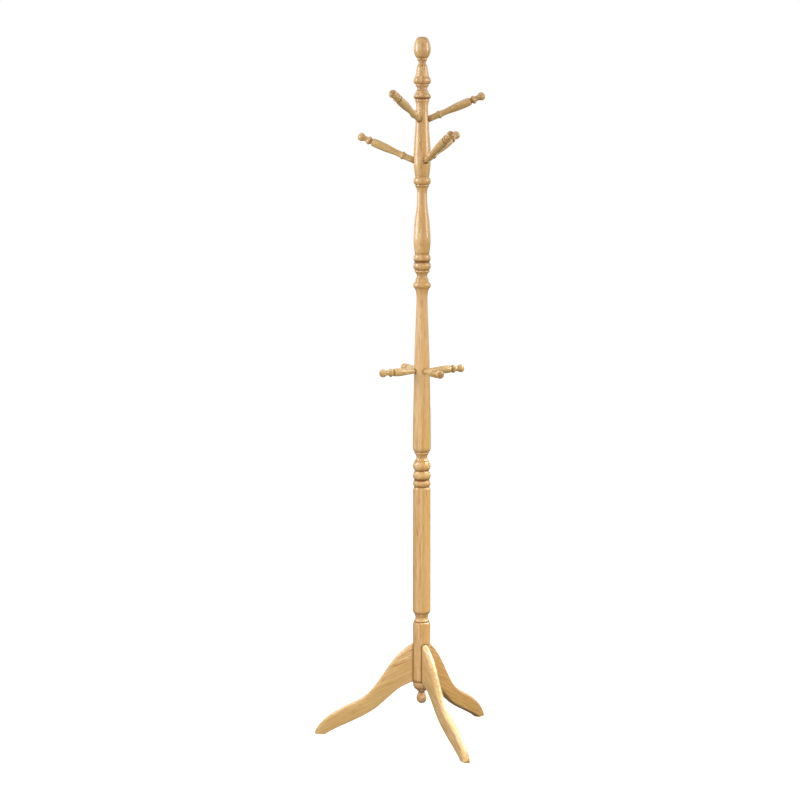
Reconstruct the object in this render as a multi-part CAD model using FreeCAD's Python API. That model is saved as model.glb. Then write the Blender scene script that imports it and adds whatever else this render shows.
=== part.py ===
import FreeCAD, Part
import math
import os

# A standing coat rack: a turned post in three lengths with a finial at each end, three sawn legs
# that slide up into dovetail slots round its foot, and ten turned pegs in three tiers.
# Millimetres, +Z up. The origin is on the floor under the post's axis; the front leg points to -Y.

# --- Overall places ---------------------------------------------------------------------------
POST_FOOT = 142.0            # height of the post's lower end above the floor
LEG_REACH = 273.0            # from the post's axis to the tip of a leg
FRONT = -90.0                # direction of the front leg about the axis, degrees
LEG_DIRECTIONS = {"front_leg": FRONT, "right_leg": FRONT + 120.0, "left_leg": FRONT + 240.0}

# --- Turned diameters -------------------------------------------------------------------------
POST = 43.5                  # the plain cylinders of the post
BEAD = 44.2                  # the post's full beads
BEAD_FOOT = 36.5             # where a bead springs from its groove
GROOVE = 34.8                # the narrow grooves beside the beads
RING = 38.3                  # the raised rings beside the coves
COVE = 27.0                  # the waist of a cove

# --- Lengths of the plain stretches -----------------------------------------------------------
BLOCK_LENGTH = 150.5         # the block that carries the legs
SHAFT_LENGTH = 309.7         # the plain cylinder above the block

# --- Joints of the post -----------------------------------------------------------------------
FIT = 0.05                   # radial clearance of a glued or screwed fit
END_GAP = 0.5                # left beyond the end of whatever goes into a blind hole
BOLT = 8.0                   # hanger bolts between the lengths of the post
BOLT_IN_WOOD = 34.0
BOLT_IN_INSERT = 24.0
INSERT = 12.0                # threaded inserts that take those bolts
INSERT_LENGTH = 18.0
FINIAL_BOLT = 6.0            # hanger bolt of the base finial
FINIAL_BOLT_IN_WOOD = 19.0
FINIAL_BOLT_IN_INSERT = 16.0
FINIAL_INSERT = 10.0
FINIAL_INSERT_LENGTH = 13.0
BOLT_POINT = 5.0             # length of a hanger bolt's point
BOLT_TIP = 2.0               # diameter left at the very tip
DOWEL = 10.0                 # dowel of the top finial
DOWEL_DEPTH = 20.0           # into each side
EDGE_BREAK = 1.0             # chamfer on dowel, bolt and insert ends

# --- Legs -------------------------------------------------------------------------------------
LEG_THICKNESS = 18.0
LEG_ROOT_HEIGHT = 99.0       # height of a leg's root against the block
LEG_TOP_ROUND = 7.5          # radius worked on the upper edges
LEG_LOWER_ROUND = 3.0        # radius worked on the lower edges
FOOT_LENGTH = 25.0           # the flat that stands on the floor
TOE_HEIGHT = 4.0             # the blunt end above the floor
TOE_LEAN = 1.5               # how far the blunt end leans back
LEG_LEVEL_RUN = 0.45         # the lower edge leaves the block level until it is this far beyond it
# The S-curve of the edges. A row is a share of the way out and a share of the height that is left:
# of the upper edge between the root's top and the toe, of the lower between its level run and the heel.
LEG_UPPER_EDGE = ((0.1591, 0.8671), (0.3249, 0.6245), (0.4946, 0.4093), (0.6921, 0.2932),
                  (0.8697, 0.173), (0.9566, 0.0802))
LEG_LOWER_EDGE = ((0.0348, 0.9761), (0.1016, 0.9254), (0.2577, 0.7324), (0.436, 0.4831),
                  (0.6366, 0.2958), (0.8596, 0.1254))
TONGUE_STOP = 13.0           # the dovetail tongue stops this far below the top of the leg's root
TONGUE_DEPTH = 8.5
TONGUE_NECK = 9.0            # width where the tongue leaves the leg
TONGUE_END = 12.0            # width at its inner end
SEAT_GAP = 0.3               # the flat on the block is this much wider than the leg, each side
SEAT_RISE = 1.5              # and runs this far above the leg's root
LEAD_IN = 3.0                # the slot's mouth is opened this far each side so that the leg enters
LEAD_IN_HEIGHT = 6.0

# --- Pegs -------------------------------------------------------------------------------------
PEG_MOUTH_GAP = 0.7          # the socket's mouth is this much wider than the peg, each side
PEG_SEAT_MARGIN = 0.4        # solid seat beyond the lowest point of the mouth's rim
LONG_PEG_ROOT = 15.5
LONG_PEG_TENON = 9.0
LONG_PEG_TENON_LENGTH = 5.2
SHORT_PEG_ROOT = 12.5
SHORT_PEG_TENON = 8.0
SHORT_PEG_TENON_LENGTH = 9.5
PEG_BALL = 20.4
PEG_NECK = 12.8
PEG_RING = 20.8
PEG_BODY = 20.6
# Each tier: name, kind of peg, the length of post that carries it, how far above that length's lower
# end the pegs leave it and, for each peg, its turn from the front leg and its tilt above level. The
# sockets were drilled by eye, so none is quite regular, and the top tier stands between those below.
TIERS = (
    ("top_peg", "long", "upper_pole", 350.0, ((-53.2, 24.0), (67.4, 23.2), (184.0, 25.6))),
    ("upper_peg", "long", "upper_pole", 249.5, ((3.0, 25.0), (120.8, 26.3), (239.0, 23.8))),
    ("short_peg", "short", "middle_pole", 273.0, ((0.0, 0.0), (90.5, 1.6), (180.0, 0.0), (272.5, -1.0))),
)

# --- Turned outlines --------------------------------------------------------------------------
# Each is drawn upwards from the lower end. A row is one element of the turning:
#   line, rise, upper diameter                   bead or cove, rise, diameter half-way, upper diameter
#   step, diameter                               curve, ((rise, diameter), ...) measured from its start
#   dome, as curve, but closing level on the axis
BASE_FINIAL_START = 12.5
BASE_FINIAL = (
    ("curve", ((3.5, 20.5), (9.0, 24.9), (14.5, 25.4), (21.0, 21.8), (26.0, 17.2), (29.5, 15.6))),
    ("line", 1.5, 20.0),
    ("bead", 3.0, 24.0, 23.0),
    ("curve", ((2.7, POST - 10.5), (6.5, POST - 4.7), (10.5, POST - 1.3), (13.0, POST - 0.5))),
    ("bead", 7.5, POST - 0.1, POST - 0.9),
)

LOWER_POLE_START = POST
LOWER_POLE = (
    ("line", BLOCK_LENGTH, POST),
    ("line", 2.5, 39.0),
    ("step", 36.0),
    ("line", 1.0, 36.0),
    ("bead", 4.5, RING, 36.0),
    ("cove", 13.0, 31.3, 34.0),
    ("step", 33.0),
    ("bead", 3.0, 35.7, 34.5),
    ("step", GROOVE - 1.3),
    ("line", 0.8, GROOVE - 1.3),
    ("step", BEAD_FOOT),
    ("bead", 6.5, 42.3, BEAD),
    ("line", SHAFT_LENGTH, POST),
    ("line", 4.6, 38.5),
    ("step", 37.0),
    ("line", 1.0, 37.0),
    ("bead", 16.0, BEAD, 37.5),
    ("line", 0.9, GROOVE),
)

MIDDLE_POLE_START = GROOVE
MIDDLE_POLE = (
    ("step", BEAD_FOOT),
    ("bead", 22.0, BEAD, BEAD_FOOT),
    ("line", 1.0, GROOVE - 0.4),
    ("line", 2.0, BEAD_FOOT),
    ("bead", 20.5, BEAD, 37.0),
    ("step", 36.0),
    ("line", 1.0, 36.0),
    ("line", 2.0, 37.0),
    ("cove", 17.0, COVE, 34.5),
    ("step", 36.0),
    ("bead", 4.0, 37.2, 36.0),
    ("step", GROOVE),
    ("line", 1.2, GROOVE),
    ("step", BEAD_FOOT),
    ("bead", 11.0, 43.4, 45.0),
    ("curve", ((62.3, 43.9), (162.3, 40.3), (242.3, 37.0), (302.3, 32.6), (342.3, 30.1), (376.3, 28.3),
               (388.3, 30.2), (396.8, BEAD_FOOT))),
    ("bead", 15.5, BEAD, 35.5),
    ("step", 33.4),
    ("line", 7.5, 33.4),
    ("cove", 16.5, COVE - 1.0, 34.0),
    ("step", 37.0),
    ("bead", 5.0, RING, 37.0),
    ("step", GROOVE),
    ("line", 1.5, GROOVE),
    ("step", BEAD_FOOT),
    ("bead", 18.5, BEAD, BEAD_FOOT),
    ("line", 1.0, GROOVE),
)

UPPER_POLE_START = GROOVE
UPPER_POLE = (
    ("step", BEAD_FOOT),
    ("bead", 18.0, BEAD - 1.0, BEAD_FOOT),
    ("line", 1.5, GROOVE),
    ("line", 1.5, BEAD_FOOT),
    ("curve", ((8.0, 38.6), (18.0, 41.2), (33.0, 43.0), (53.0, 40.9), (78.0, 37.3), (98.0, 31.9),
               (118.0, 27.0), (140.0, 25.0), (154.0, 25.6), (160.0, 28.4), (163.5, 32.0))),
    ("bead", 4.5, 35.0, 34.0),
    ("step", GROOVE - 1.3),
    ("line", 1.2, GROOVE - 1.3),
    ("step", BEAD_FOOT),
    ("bead", 17.0, BEAD - 1.0, 37.0),
    ("step", GROOVE),
    ("line", 2.0, GROOVE),
    ("curve", ((9.0, 37.4), (21.0, 40.6), (47.0, 43.2), (74.0, 41.0), (99.0, 37.6), (117.0, 35.2),
               (134.0, 33.4), (149.0, 30.9), (164.5, 29.5), (175.0, 30.4), (181.0, 32.0))),
    ("step", 31.5),
    ("line", 1.0, 31.5),
    ("step", 34.5),
    ("bead", 6.0, 36.0, 34.5),
    ("line", 1.3, 34.0),
)

TOP_FINIAL_START = 34.0
TOP_FINIAL = (
    ("line", 1.0, 34.0),
    ("step", BEAD_FOOT),
    ("bead", 9.5, BEAD - 0.4, 40.0),
    ("line", 4.5, 33.5),
    ("line", 4.0, 32.4),
    ("step", 31.0),
    ("cove", 12.0, 25.0, 29.0),
    ("step", 31.0),
    ("bead", 4.5, 33.0, 32.0),
    ("step", 31.5),
    ("line", 0.8, 31.5),
    ("step", 34.5),
    ("bead", 16.5, BEAD, 36.5),
    ("curve", ((3.5, 34.0), (9.0, 31.9), (16.0, 29.6), (23.5, 26.9), (29.5, 22.5), (35.0, 18.3),
               (38.5, 19.6), (41.5, 23.0))),
    ("bead", 4.5, 25.2, 24.0),
    ("step", 22.5),
    ("line", 0.8, 22.5),
    ("step", 26.0),
    ("dome", ((3.0, 31.2), (8.0, 36.8), (14.0, 40.8), (21.0, 42.8), (29.0, 41.2), (36.5, 37.8),
              (43.0, 33.2), (48.0, 26.5), (51.0, 16.0), (51.9, 0.0))),
)

PEG_HEAD = (
    ("cove", 4.5, PEG_NECK + 0.6, 15.5),
    ("bead", 8.0, PEG_RING, 15.5),
    ("cove", 9.6, PEG_NECK, 14.5),
    ("dome", ((3.2, 18.4), (7.4, PEG_BALL), (12.4, 17.6), (15.4, 10.0), (16.2, 0.0))),
)

LONG_PEG = (
    ("line", 29.8, LONG_PEG_ROOT),
    ("line", 3.0, 19.2),
    ("bead", 3.5, 20.2, 19.2),
    ("line", 3.0, LONG_PEG_ROOT + 0.3),
    ("curve", ((22.0, 16.2), (38.0, 19.4), (54.0, PEG_BODY), (70.0, PEG_BODY), (78.2, 18.6))),
) + PEG_HEAD

SHORT_PEG = (
    ("curve", ((14.0, 14.0), (34.0, 18.4), (49.0, 20.0), (59.4, 18.4))),
) + PEG_HEAD


class Turning:
    """The outline of a turned piece on the Z axis, drawn upwards, then spun into a solid."""

    def __init__(self, height, diameter):
        self.height = height
        self.radius = 0.0
        self.edges = []
        self.step(diameter)

    def point(self, rise=0.0, diameter=None):
        radius = self.radius if diameter is None else diameter / 2
        return FreeCAD.Vector(radius, 0, self.height + rise)

    def move(self, rise, diameter):
        self.height += rise
        self.radius = diameter / 2

    def step(self, diameter):
        self.line(0.0, diameter)

    def line(self, rise, diameter):
        self.edges.append(Part.makeLine(self.point(), self.point(rise, diameter)))
        self.move(rise, diameter)

    def bead(self, rise, middle, diameter):
        through = self.point(rise / 2, middle)
        self.edges.append(Part.Arc(self.point(), through, self.point(rise, diameter)).toShape())
        self.move(rise, diameter)

    def cove(self, rise, middle, diameter):
        self.bead(rise, middle, diameter)

    def curve(self, places):
        points = [self.point()] + [self.point(*place) for place in places]
        spline = Part.BSplineCurve()
        spline.interpolate(Points=points)
        self.edges.append(spline.toShape())
        self.move(*places[-1])

    def dome(self, places):
        points = [self.point()] + [self.point(*place) for place in places]
        start = (points[1] - points[0]).normalize()
        spline = Part.BSplineCurve()
        spline.interpolate(Points=points, InitialTangent=start, FinalTangent=FreeCAD.Vector(-1, 0, 0))
        self.edges.append(spline.toShape())
        self.move(*places[-1])

    def draw(self, outline):
        for element, *sizes in outline:
            getattr(self, element)(*sizes)
        return self

    def solid(self, base):
        if self.radius > 0:
            self.step(0.0)
        self.edges.append(Part.makeLine(self.point(), FreeCAD.Vector(0, 0, base)))
        face = Part.Face(Part.Wire(self.edges))
        return face.revolve(FreeCAD.Vector(0, 0, 0), FreeCAD.Vector(0, 0, 1), 360)


def turned(base, start, outline):
    """The solid of one turned piece whose lower end is at the height base."""
    return Turning(base, start).draw(outline).solid(base)


def rise_of(outline):
    """The height of a turned outline from end to end."""
    turning = Turning(0.0, 1.0).draw(outline)
    return turning.height


def cylinder(radius, low, high):
    return Part.makeCylinder(radius, high - low, FreeCAD.Vector(0, 0, low))


def radius_at(solid, height):
    """How far a turned solid reaches from its axis at a height."""
    spoke = Part.makeLine(FreeCAD.Vector(0, 0, height), FreeCAD.Vector(LEG_REACH, 0, height))
    return solid.common(spoke).Length


# --- Where the lengths of the post meet -------------------------------------------------------
LOWER_JOINT = POST_FOOT + rise_of(LOWER_POLE)
UPPER_JOINT = LOWER_JOINT + rise_of(MIDDLE_POLE)
FINIAL_JOINT = UPPER_JOINT + rise_of(UPPER_POLE)
SEAT_WIDTH = LEG_THICKNESS + 2 * SEAT_GAP
SEAT_RADIUS = math.sqrt((POST / 2) ** 2 - (SEAT_WIDTH / 2) ** 2)   # the flats that the legs bear on
TONGUE_HEIGHT = LEG_ROOT_HEIGHT - TONGUE_STOP   # up from the leg's lower corner


# --- Fasteners inside the post ----------------------------------------------------------------
def hanger_bolt(size, joint, in_wood, in_insert, way):
    """A bolt across a joint: screwed into the wood on one side and into an insert on the other."""
    radius = size / 2
    shank_end = in_wood - BOLT_POINT
    point = Part.makeCone(radius, BOLT_TIP / 2, BOLT_POINT, FreeCAD.Vector(0, 0, shank_end))
    end = Part.makeCone(radius - EDGE_BREAK, radius, EDGE_BREAK, FreeCAD.Vector(0, 0, -in_insert))
    bolt = cylinder(radius, EDGE_BREAK - in_insert, shank_end).fuse([point, end]).removeSplitter()
    if way < 0:
        bolt.rotate(FreeCAD.Vector(0, 0, 0), FreeCAD.Vector(1, 0, 0), 180)
    bolt.translate(FreeCAD.Vector(0, 0, joint))
    return bolt


def insert(outside, bore, low, length):
    """A threaded sleeve, with its ends chamfered."""
    sleeve = cylinder(outside / 2, low, low + length)
    rims = [edge for edge in sleeve.Edges if edge.Closed]
    sleeve = sleeve.makeChamfer(EDGE_BREAK / 2, rims)
    return sleeve.cut(cylinder(bore / 2 + FIT, low, low + length))


def bolt_hole(size, joint, in_wood, way):
    """The pilot hole that a bolt's wood screw end fills, going up (1) or down (-1) from the joint."""
    end = joint + way * (in_wood + END_GAP)
    return cylinder(size / 2 + FIT, *sorted((joint, end)))


def insert_hole(outside, length, size, in_insert, joint, way):
    """The stepped hole for an insert, with room for the bolt's end beyond it."""
    sleeve = cylinder(outside / 2 + FIT, *sorted((joint, joint + way * length)))
    beyond = cylinder(size / 2 + 2 * FIT, *sorted((joint, joint + way * (in_insert + END_GAP))))
    return sleeve.fuse(beyond)


def top_dowel():
    dowel = cylinder(DOWEL / 2, FINIAL_JOINT - DOWEL_DEPTH, FINIAL_JOINT + DOWEL_DEPTH)
    return dowel.makeChamfer(EDGE_BREAK, [edge for edge in dowel.Edges if edge.Closed])


def dowel_hole():
    reach = DOWEL_DEPTH + END_GAP
    return cylinder(DOWEL / 2 + FIT, FINIAL_JOINT - reach, FINIAL_JOINT + reach)


# --- Legs -------------------------------------------------------------------------------------
def edge_curve(points):
    spline = Part.BSplineCurve()
    spline.interpolate(Points=[FreeCAD.Vector(x, -LEG_THICKNESS / 2, z) for x, z in points])
    return spline.toShape()


def spread(shares, start, end):
    """Points from start to end, the height share counting down from the start's height to the end's."""
    return tuple((start[0] + out * (end[0] - start[0]), end[1] + up * (start[1] - end[1]))
                 for out, up in shares)


def straight(start, end):
    return Part.makeLine(*(FreeCAD.Vector(x, -LEG_THICKNESS / 2, z) for x, z in (start, end)))


def dovetail(height, growth):
    """The tongue of a leg along +X, or with a growth the slot that it slides in."""
    inner = SEAT_RADIUS - TONGUE_DEPTH - growth
    outer = SEAT_RADIUS + (POST if growth else 2 * FIT)
    flare = (TONGUE_END - TONGUE_NECK) / 2 / TONGUE_DEPTH
    neck = TONGUE_NECK / 2 + growth
    end = neck + flare * (SEAT_RADIUS - inner)
    half = ((inner, end), (SEAT_RADIUS, neck), (outer, neck))
    corners = [(x, -y) for x, y in half] + [(x, y) for x, y in reversed(half)]
    points = [FreeCAD.Vector(x, y, POST_FOOT) for x, y in corners]
    face = Part.Face(Part.makePolygon(points + points[:1]))
    return face.extrude(FreeCAD.Vector(0, 0, height))


def leg():
    """One leg along +X: a sawn S-curve with worked edges and its dovetail tongue."""
    root = SEAT_RADIUS + FIT
    top = (root, POST_FOOT + LEG_ROOT_HEIGHT)
    corner = (root, POST_FOOT)
    toe = (LEG_REACH, TOE_HEIGHT)
    tip = (LEG_REACH - TOE_LEAN, 0.0)
    heel = (tip[0] - FOOT_LENGTH, 0.0)
    level = (POST / 2 + LEG_LEVEL_RUN, POST_FOOT)
    upper = edge_curve((top,) + spread(LEG_UPPER_EDGE, top, toe) + (toe,))
    lower = edge_curve((corner, level) + spread(LEG_LOWER_EDGE, level, heel) + (heel,))
    outline = Part.Wire([upper, straight(toe, tip), straight(tip, heel), lower, straight(corner, top)])
    board = Part.Face(outline).extrude(FreeCAD.Vector(0, LEG_THICKNESS, 0))
    board = board.makeFillet(LEG_TOP_ROUND, long_edges(board, top, toe))
    board = board.makeFillet(LEG_LOWER_ROUND, long_edges(board, corner, heel))
    return board.fuse(dovetail(TONGUE_HEIGHT, 0.0)).removeSplitter()


def long_edges(board, start, end):
    """The two edges of a board that run from one corner of its outline to another."""
    found = []
    for edge in board.Edges:
        ends = [(vertex.X, vertex.Z) for vertex in edge.Vertexes]
        if len(ends) == 2 and all(any(math.dist(a, b) < FIT / 5 for b in ends) for a in (start, end)):
            found.append(edge)
    return found


def leg_seat():
    """What is cut from the block for one leg along +X: a flat with a round top, a slot and its mouth."""
    half = SEAT_WIDTH / 2
    outwards = FreeCAD.Vector(1, 0, 0)
    crown = POST_FOOT + LEG_ROOT_HEIGHT + SEAT_RISE - half
    start = FreeCAD.Vector(SEAT_RADIUS, -half, POST_FOOT)
    flat = Part.makeBox(POST, SEAT_WIDTH, crown - POST_FOOT, start)
    crown_end = Part.makeCylinder(half, POST, FreeCAD.Vector(SEAT_RADIUS, 0, crown), outwards)
    slot = dovetail(TONGUE_HEIGHT + END_GAP, FIT)
    mouth = half + LEAD_IN
    apex = LEAD_IN_HEIGHT * mouth / LEAD_IN
    corners = [(-mouth, 0.0), (mouth, 0.0), (0.0, apex), (-mouth, 0.0)]
    points = [FreeCAD.Vector(SEAT_RADIUS - LEAD_IN, y, POST_FOOT + rise) for y, rise in corners]
    lead_in = Part.Face(Part.makePolygon(points)).extrude(POST * outwards)
    return flat.fuse([crown_end, slot, lead_in])


def turned_round(shape, degrees):
    """A copy of a shape, turned about the post's axis."""
    copy = shape.copy()
    copy.rotate(FreeCAD.Vector(0, 0, 0), FreeCAD.Vector(0, 0, 1), degrees)
    return copy


# --- Pegs -------------------------------------------------------------------------------------
class Peg:
    """One kind of peg, drawn along +Z with its shoulder at the origin, and the socket it glues into."""

    def __init__(self, root, tenon, tenon_length, outline):
        self.root = root
        self.tenon = tenon
        self.tenon_length = tenon_length
        self.outline = outline

    def solid(self):
        tenon = (("line", self.tenon_length, self.tenon), ("step", self.root))
        return turned(-self.tenon_length, self.tenon, tenon + self.outline)

    def socket(self):
        mouth = cylinder(self.root / 2 + PEG_MOUTH_GAP, 0.0, POST)
        bore = cylinder(self.tenon / 2 + FIT, -self.tenon_length - END_GAP, POST)
        return mouth.fuse(bore)

    def seat_depth(self, radius, tilt):
        """How far in along the peg its seat lies, so that the whole seat is in the wood."""
        half = self.root / 2 + PEG_MOUTH_GAP
        sagitta = radius - math.sqrt(radius ** 2 - half ** 2)
        return half * math.tan(tilt) + sagitta / math.cos(tilt) + PEG_SEAT_MARGIN


PEGS = {
    "long": Peg(LONG_PEG_ROOT, LONG_PEG_TENON, LONG_PEG_TENON_LENGTH, LONG_PEG),
    "short": Peg(SHORT_PEG_ROOT, SHORT_PEG_TENON, SHORT_PEG_TENON_LENGTH, SHORT_PEG),
}


def placed(shape, peg, pole, height, tilt, direction):
    """A peg or its socket, seated in the pole at a height, tilted up and turned to its direction."""
    angle = math.radians(tilt)
    radius = radius_at(pole, height)
    depth = peg.seat_depth(radius, angle)
    copy = shape.copy()
    copy.rotate(FreeCAD.Vector(0, 0, 0), FreeCAD.Vector(0, 1, 0), 90 - tilt)
    copy.translate(FreeCAD.Vector(radius - depth * math.cos(angle), 0, height - depth * math.sin(angle)))
    return turned_round(copy, direction)


# --- Assembly ---------------------------------------------------------------------------------
def lower_pole():
    pole = turned(POST_FOOT, LOWER_POLE_START, LOWER_POLE)
    seats = [turned_round(leg_seat(), direction) for direction in LEG_DIRECTIONS.values()]
    joint_hole = insert_hole(INSERT, INSERT_LENGTH, BOLT, BOLT_IN_INSERT, LOWER_JOINT, -1)
    finial_hole = insert_hole(FINIAL_INSERT, FINIAL_INSERT_LENGTH, FINIAL_BOLT, FINIAL_BOLT_IN_INSERT,
                              POST_FOOT, 1)
    return pole.cut(seats + [joint_hole, finial_hole])


def middle_pole():
    pole = turned(LOWER_JOINT, MIDDLE_POLE_START, MIDDLE_POLE)
    lower_hole = bolt_hole(BOLT, LOWER_JOINT, BOLT_IN_WOOD, 1)
    upper_hole = insert_hole(INSERT, INSERT_LENGTH, BOLT, BOLT_IN_INSERT, UPPER_JOINT, -1)
    return pole.cut([lower_hole, upper_hole])


def upper_pole():
    pole = turned(UPPER_JOINT, UPPER_POLE_START, UPPER_POLE)
    return pole.cut([bolt_hole(BOLT, UPPER_JOINT, BOLT_IN_WOOD, 1), dowel_hole()])


def top_finial():
    return turned(FINIAL_JOINT, TOP_FINIAL_START, TOP_FINIAL).cut(dowel_hole())


def base_finial():
    finial = turned(POST_FOOT - rise_of(BASE_FINIAL), BASE_FINIAL_START, BASE_FINIAL)
    return finial.cut(bolt_hole(FINIAL_BOLT, POST_FOOT, FINIAL_BOLT_IN_WOOD, -1))


def fasteners():
    """The hidden metal and the dowel, by name."""
    pieces = {"top_finial_dowel": top_dowel()}
    for name, joint in (("lower_joint", LOWER_JOINT), ("upper_joint", UPPER_JOINT)):
        pieces[name + "_bolt"] = hanger_bolt(BOLT, joint, BOLT_IN_WOOD, BOLT_IN_INSERT, 1)
        pieces[name + "_insert"] = insert(INSERT, BOLT, joint - INSERT_LENGTH, INSERT_LENGTH)
    finial_bolt = hanger_bolt(FINIAL_BOLT, POST_FOOT, FINIAL_BOLT_IN_WOOD, FINIAL_BOLT_IN_INSERT, -1)
    finial_insert = insert(FINIAL_INSERT, FINIAL_BOLT, POST_FOOT, FINIAL_INSERT_LENGTH)
    pieces.update({"base_finial_bolt": finial_bolt, "base_finial_insert": finial_insert})
    return pieces


def coat_rack():
    """Every piece of the coat rack, by name."""
    poles = {"lower_pole": lower_pole(), "middle_pole": middle_pole(), "upper_pole": upper_pole()}
    pieces = {"top_finial": top_finial(), "base_finial": base_finial()}
    pieces.update(fasteners())
    for name, direction in LEG_DIRECTIONS.items():
        pieces[name] = turned_round(leg(), direction)
    for tier, kind, carrier, rise, pegs in TIERS:
        peg = PEGS[kind]
        pole = poles[carrier]
        height = pole.BoundBox.ZMin + rise
        sockets = []
        for number, (turn, tilt) in enumerate(pegs, 1):
            seat = (peg, pole, height, tilt, FRONT + turn)
            pieces[f"{tier}_{number}"] = placed(peg.solid(), *seat)
            sockets.append(placed(peg.socket(), *seat))
        poles[carrier] = pole.cut(sockets)
    pieces.update(poles)
    return pieces


os.makedirs("parts", exist_ok=True)
for piece_name, piece in coat_rack().items():
    solid = piece.Solids[0] if len(piece.Solids) == 1 else piece
    print(piece_name, len(piece.Solids), piece.isValid(), round(piece.Volume / 1000, 2))
    solid.exportStep(f"parts/{piece_name}.step")
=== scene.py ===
"""A standing coat rack in clear-lacquered light hardwood: a post turned in three lengths with a finial at
each end, three sawn legs round its foot, and tiers of turned pegs.

Lengths are millimetres in the sizes of the pieces and metres in everything that is handed to Blender.
"""

import logging
import math
from collections.abc import Callable, Iterable, Sequence
from dataclasses import dataclass, field
from enum import Enum
from functools import cached_property
from typing import Any

import bmesh
import bpy
import numpy as np
from mathutils import Matrix, Vector

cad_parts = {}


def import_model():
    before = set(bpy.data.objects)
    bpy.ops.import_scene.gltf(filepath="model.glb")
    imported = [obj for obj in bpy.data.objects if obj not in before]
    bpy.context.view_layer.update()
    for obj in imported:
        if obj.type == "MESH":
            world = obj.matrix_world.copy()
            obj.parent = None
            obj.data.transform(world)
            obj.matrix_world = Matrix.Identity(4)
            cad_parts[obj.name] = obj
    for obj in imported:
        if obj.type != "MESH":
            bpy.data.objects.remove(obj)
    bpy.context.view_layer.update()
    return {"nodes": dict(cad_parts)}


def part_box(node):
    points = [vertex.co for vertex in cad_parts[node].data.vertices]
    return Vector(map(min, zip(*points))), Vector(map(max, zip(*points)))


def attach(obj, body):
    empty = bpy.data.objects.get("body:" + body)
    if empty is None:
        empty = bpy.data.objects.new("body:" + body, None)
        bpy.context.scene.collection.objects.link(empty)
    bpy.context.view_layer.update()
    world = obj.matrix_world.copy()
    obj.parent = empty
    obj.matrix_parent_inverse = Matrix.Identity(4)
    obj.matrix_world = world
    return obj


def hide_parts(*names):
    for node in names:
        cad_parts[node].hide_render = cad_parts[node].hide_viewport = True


MM = 0.001
WELD = 1e-7  # points closer than this are one, metres
BODY = "root"
SHARP_ANGLE = math.radians(32.0)
FRONT = -90.0  # direction of the front leg about the post, degrees
VIEW_SIDE = -114.2  # direction the rack is seen from, about the post, degrees

log = logging.getLogger("coat_rack")

Colour = tuple[float, float, float]
Place = tuple[float, float]


def srgb(red: int, green: int, blue: int) -> Colour:
    """Returns the linear colour of an 8-bit display colour.

    Args:
        red: Red, 0 to 255.
        green: Green, 0 to 255.
        blue: Blue, 0 to 255.

    Returns:
        The three linear values.
    """
    shares = (value / 255.0 for value in (red, green, blue))
    linear = [s / 12.92 if s <= 0.04045 else ((s + 0.055) / 1.055) ** 2.4 for s in shares]
    return linear[0], linear[1], linear[2]


# --- Node trees ----------------------------------------------------------------------------------


class NodeKit:
    """Adds nodes to one tree, settings first and then the values or links of their sockets."""

    def __init__(self, tree: bpy.types.NodeTree) -> None:
        """Keeps the tree that the nodes go into."""
        self.tree = tree

    def add(self, kind: str, settings: dict[str, Any] | None = None, **sockets: Any) -> bpy.types.Node:
        """Adds one node.

        Args:
            kind: The node's type name.
            settings: Properties to set before the sockets are filled.
            **sockets: A value, a socket or a Signal for each input, by name with _ for a space, or by i0, i1.

        Returns:
            The new node.
        """
        node = self.tree.nodes.new(kind)
        for name, value in (settings or {}).items():
            setattr(node, name, value)
        for name, value in sockets.items():
            self.feed(self._input(node, name), value)
        return node

    def feed(self, socket: bpy.types.NodeSocket, value: Any) -> None:
        """Links a Signal or a socket to an input, or sets the input to a plain value.

        Args:
            socket: The input.
            value: What goes into it.
        """
        if isinstance(value, Signal):
            value = value.socket
        if isinstance(value, bpy.types.NodeSocket):
            self.tree.links.new(value, socket)
        elif socket.type == "RGBA" and len(value) == 3:
            socket.default_value = (*value, 1.0)
        else:
            socket.default_value = value

    def signal(
        self, kind: str, settings: dict[str, Any] | None = None, out: int | str = 0, **sockets: Any
    ) -> "Signal":
        """Adds one node and returns one of its outputs as a Signal.

        Args:
            kind: The node's type name.
            settings: Properties to set first.
            out: The output's index or name.
            **sockets: The inputs, as for add.

        Returns:
            The output.
        """
        return Signal(self, self.add(kind, settings, **sockets).outputs[out])

    def attribute(self, name: str, out: str = "Fac") -> "Signal":
        """Reads an attribute of the surface."""
        return self.signal("ShaderNodeAttribute", {"attribute_name": name}, out)

    def vector(self, operation: str, *values: Any, out: int | str = 0) -> "Signal":
        """Adds a Vector Math node.

        Args:
            operation: The node's operation.
            *values: Its inputs in order.
            out: The output's index or name.

        Returns:
            The result.
        """
        sockets = {f"i{index}": value for index, value in enumerate(values)}
        return self.signal("ShaderNodeVectorMath", {"operation": operation}, out, **sockets)

    def mix(self, share: Any, first: Any, second: Any) -> "Signal":
        """Mixes two colours.

        Args:
            share: How much of the second there is.
            first: The first colour.
            second: The second colour.

        Returns:
            The mixture.
        """
        node = self.add("ShaderNodeMix", {"data_type": "RGBA", "clamp_factor": True})
        for index, value in ((0, share), (6, first), (7, second)):
            self.feed(node.inputs[index], value)
        return Signal(self, node.outputs[2])

    @staticmethod
    def _input(node: bpy.types.Node, name: str) -> bpy.types.NodeSocket:
        """Finds an input by its name or by i and its index.

        Args:
            node: The node.
            name: The input's name with _ for a space, or i0, i1 and so on.

        Returns:
            The input socket.
        """
        if name[0] == "i" and name[1:].isdigit():
            return node.inputs[int(name[1:])]
        return node.inputs[name.replace("_", " ")]


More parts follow.
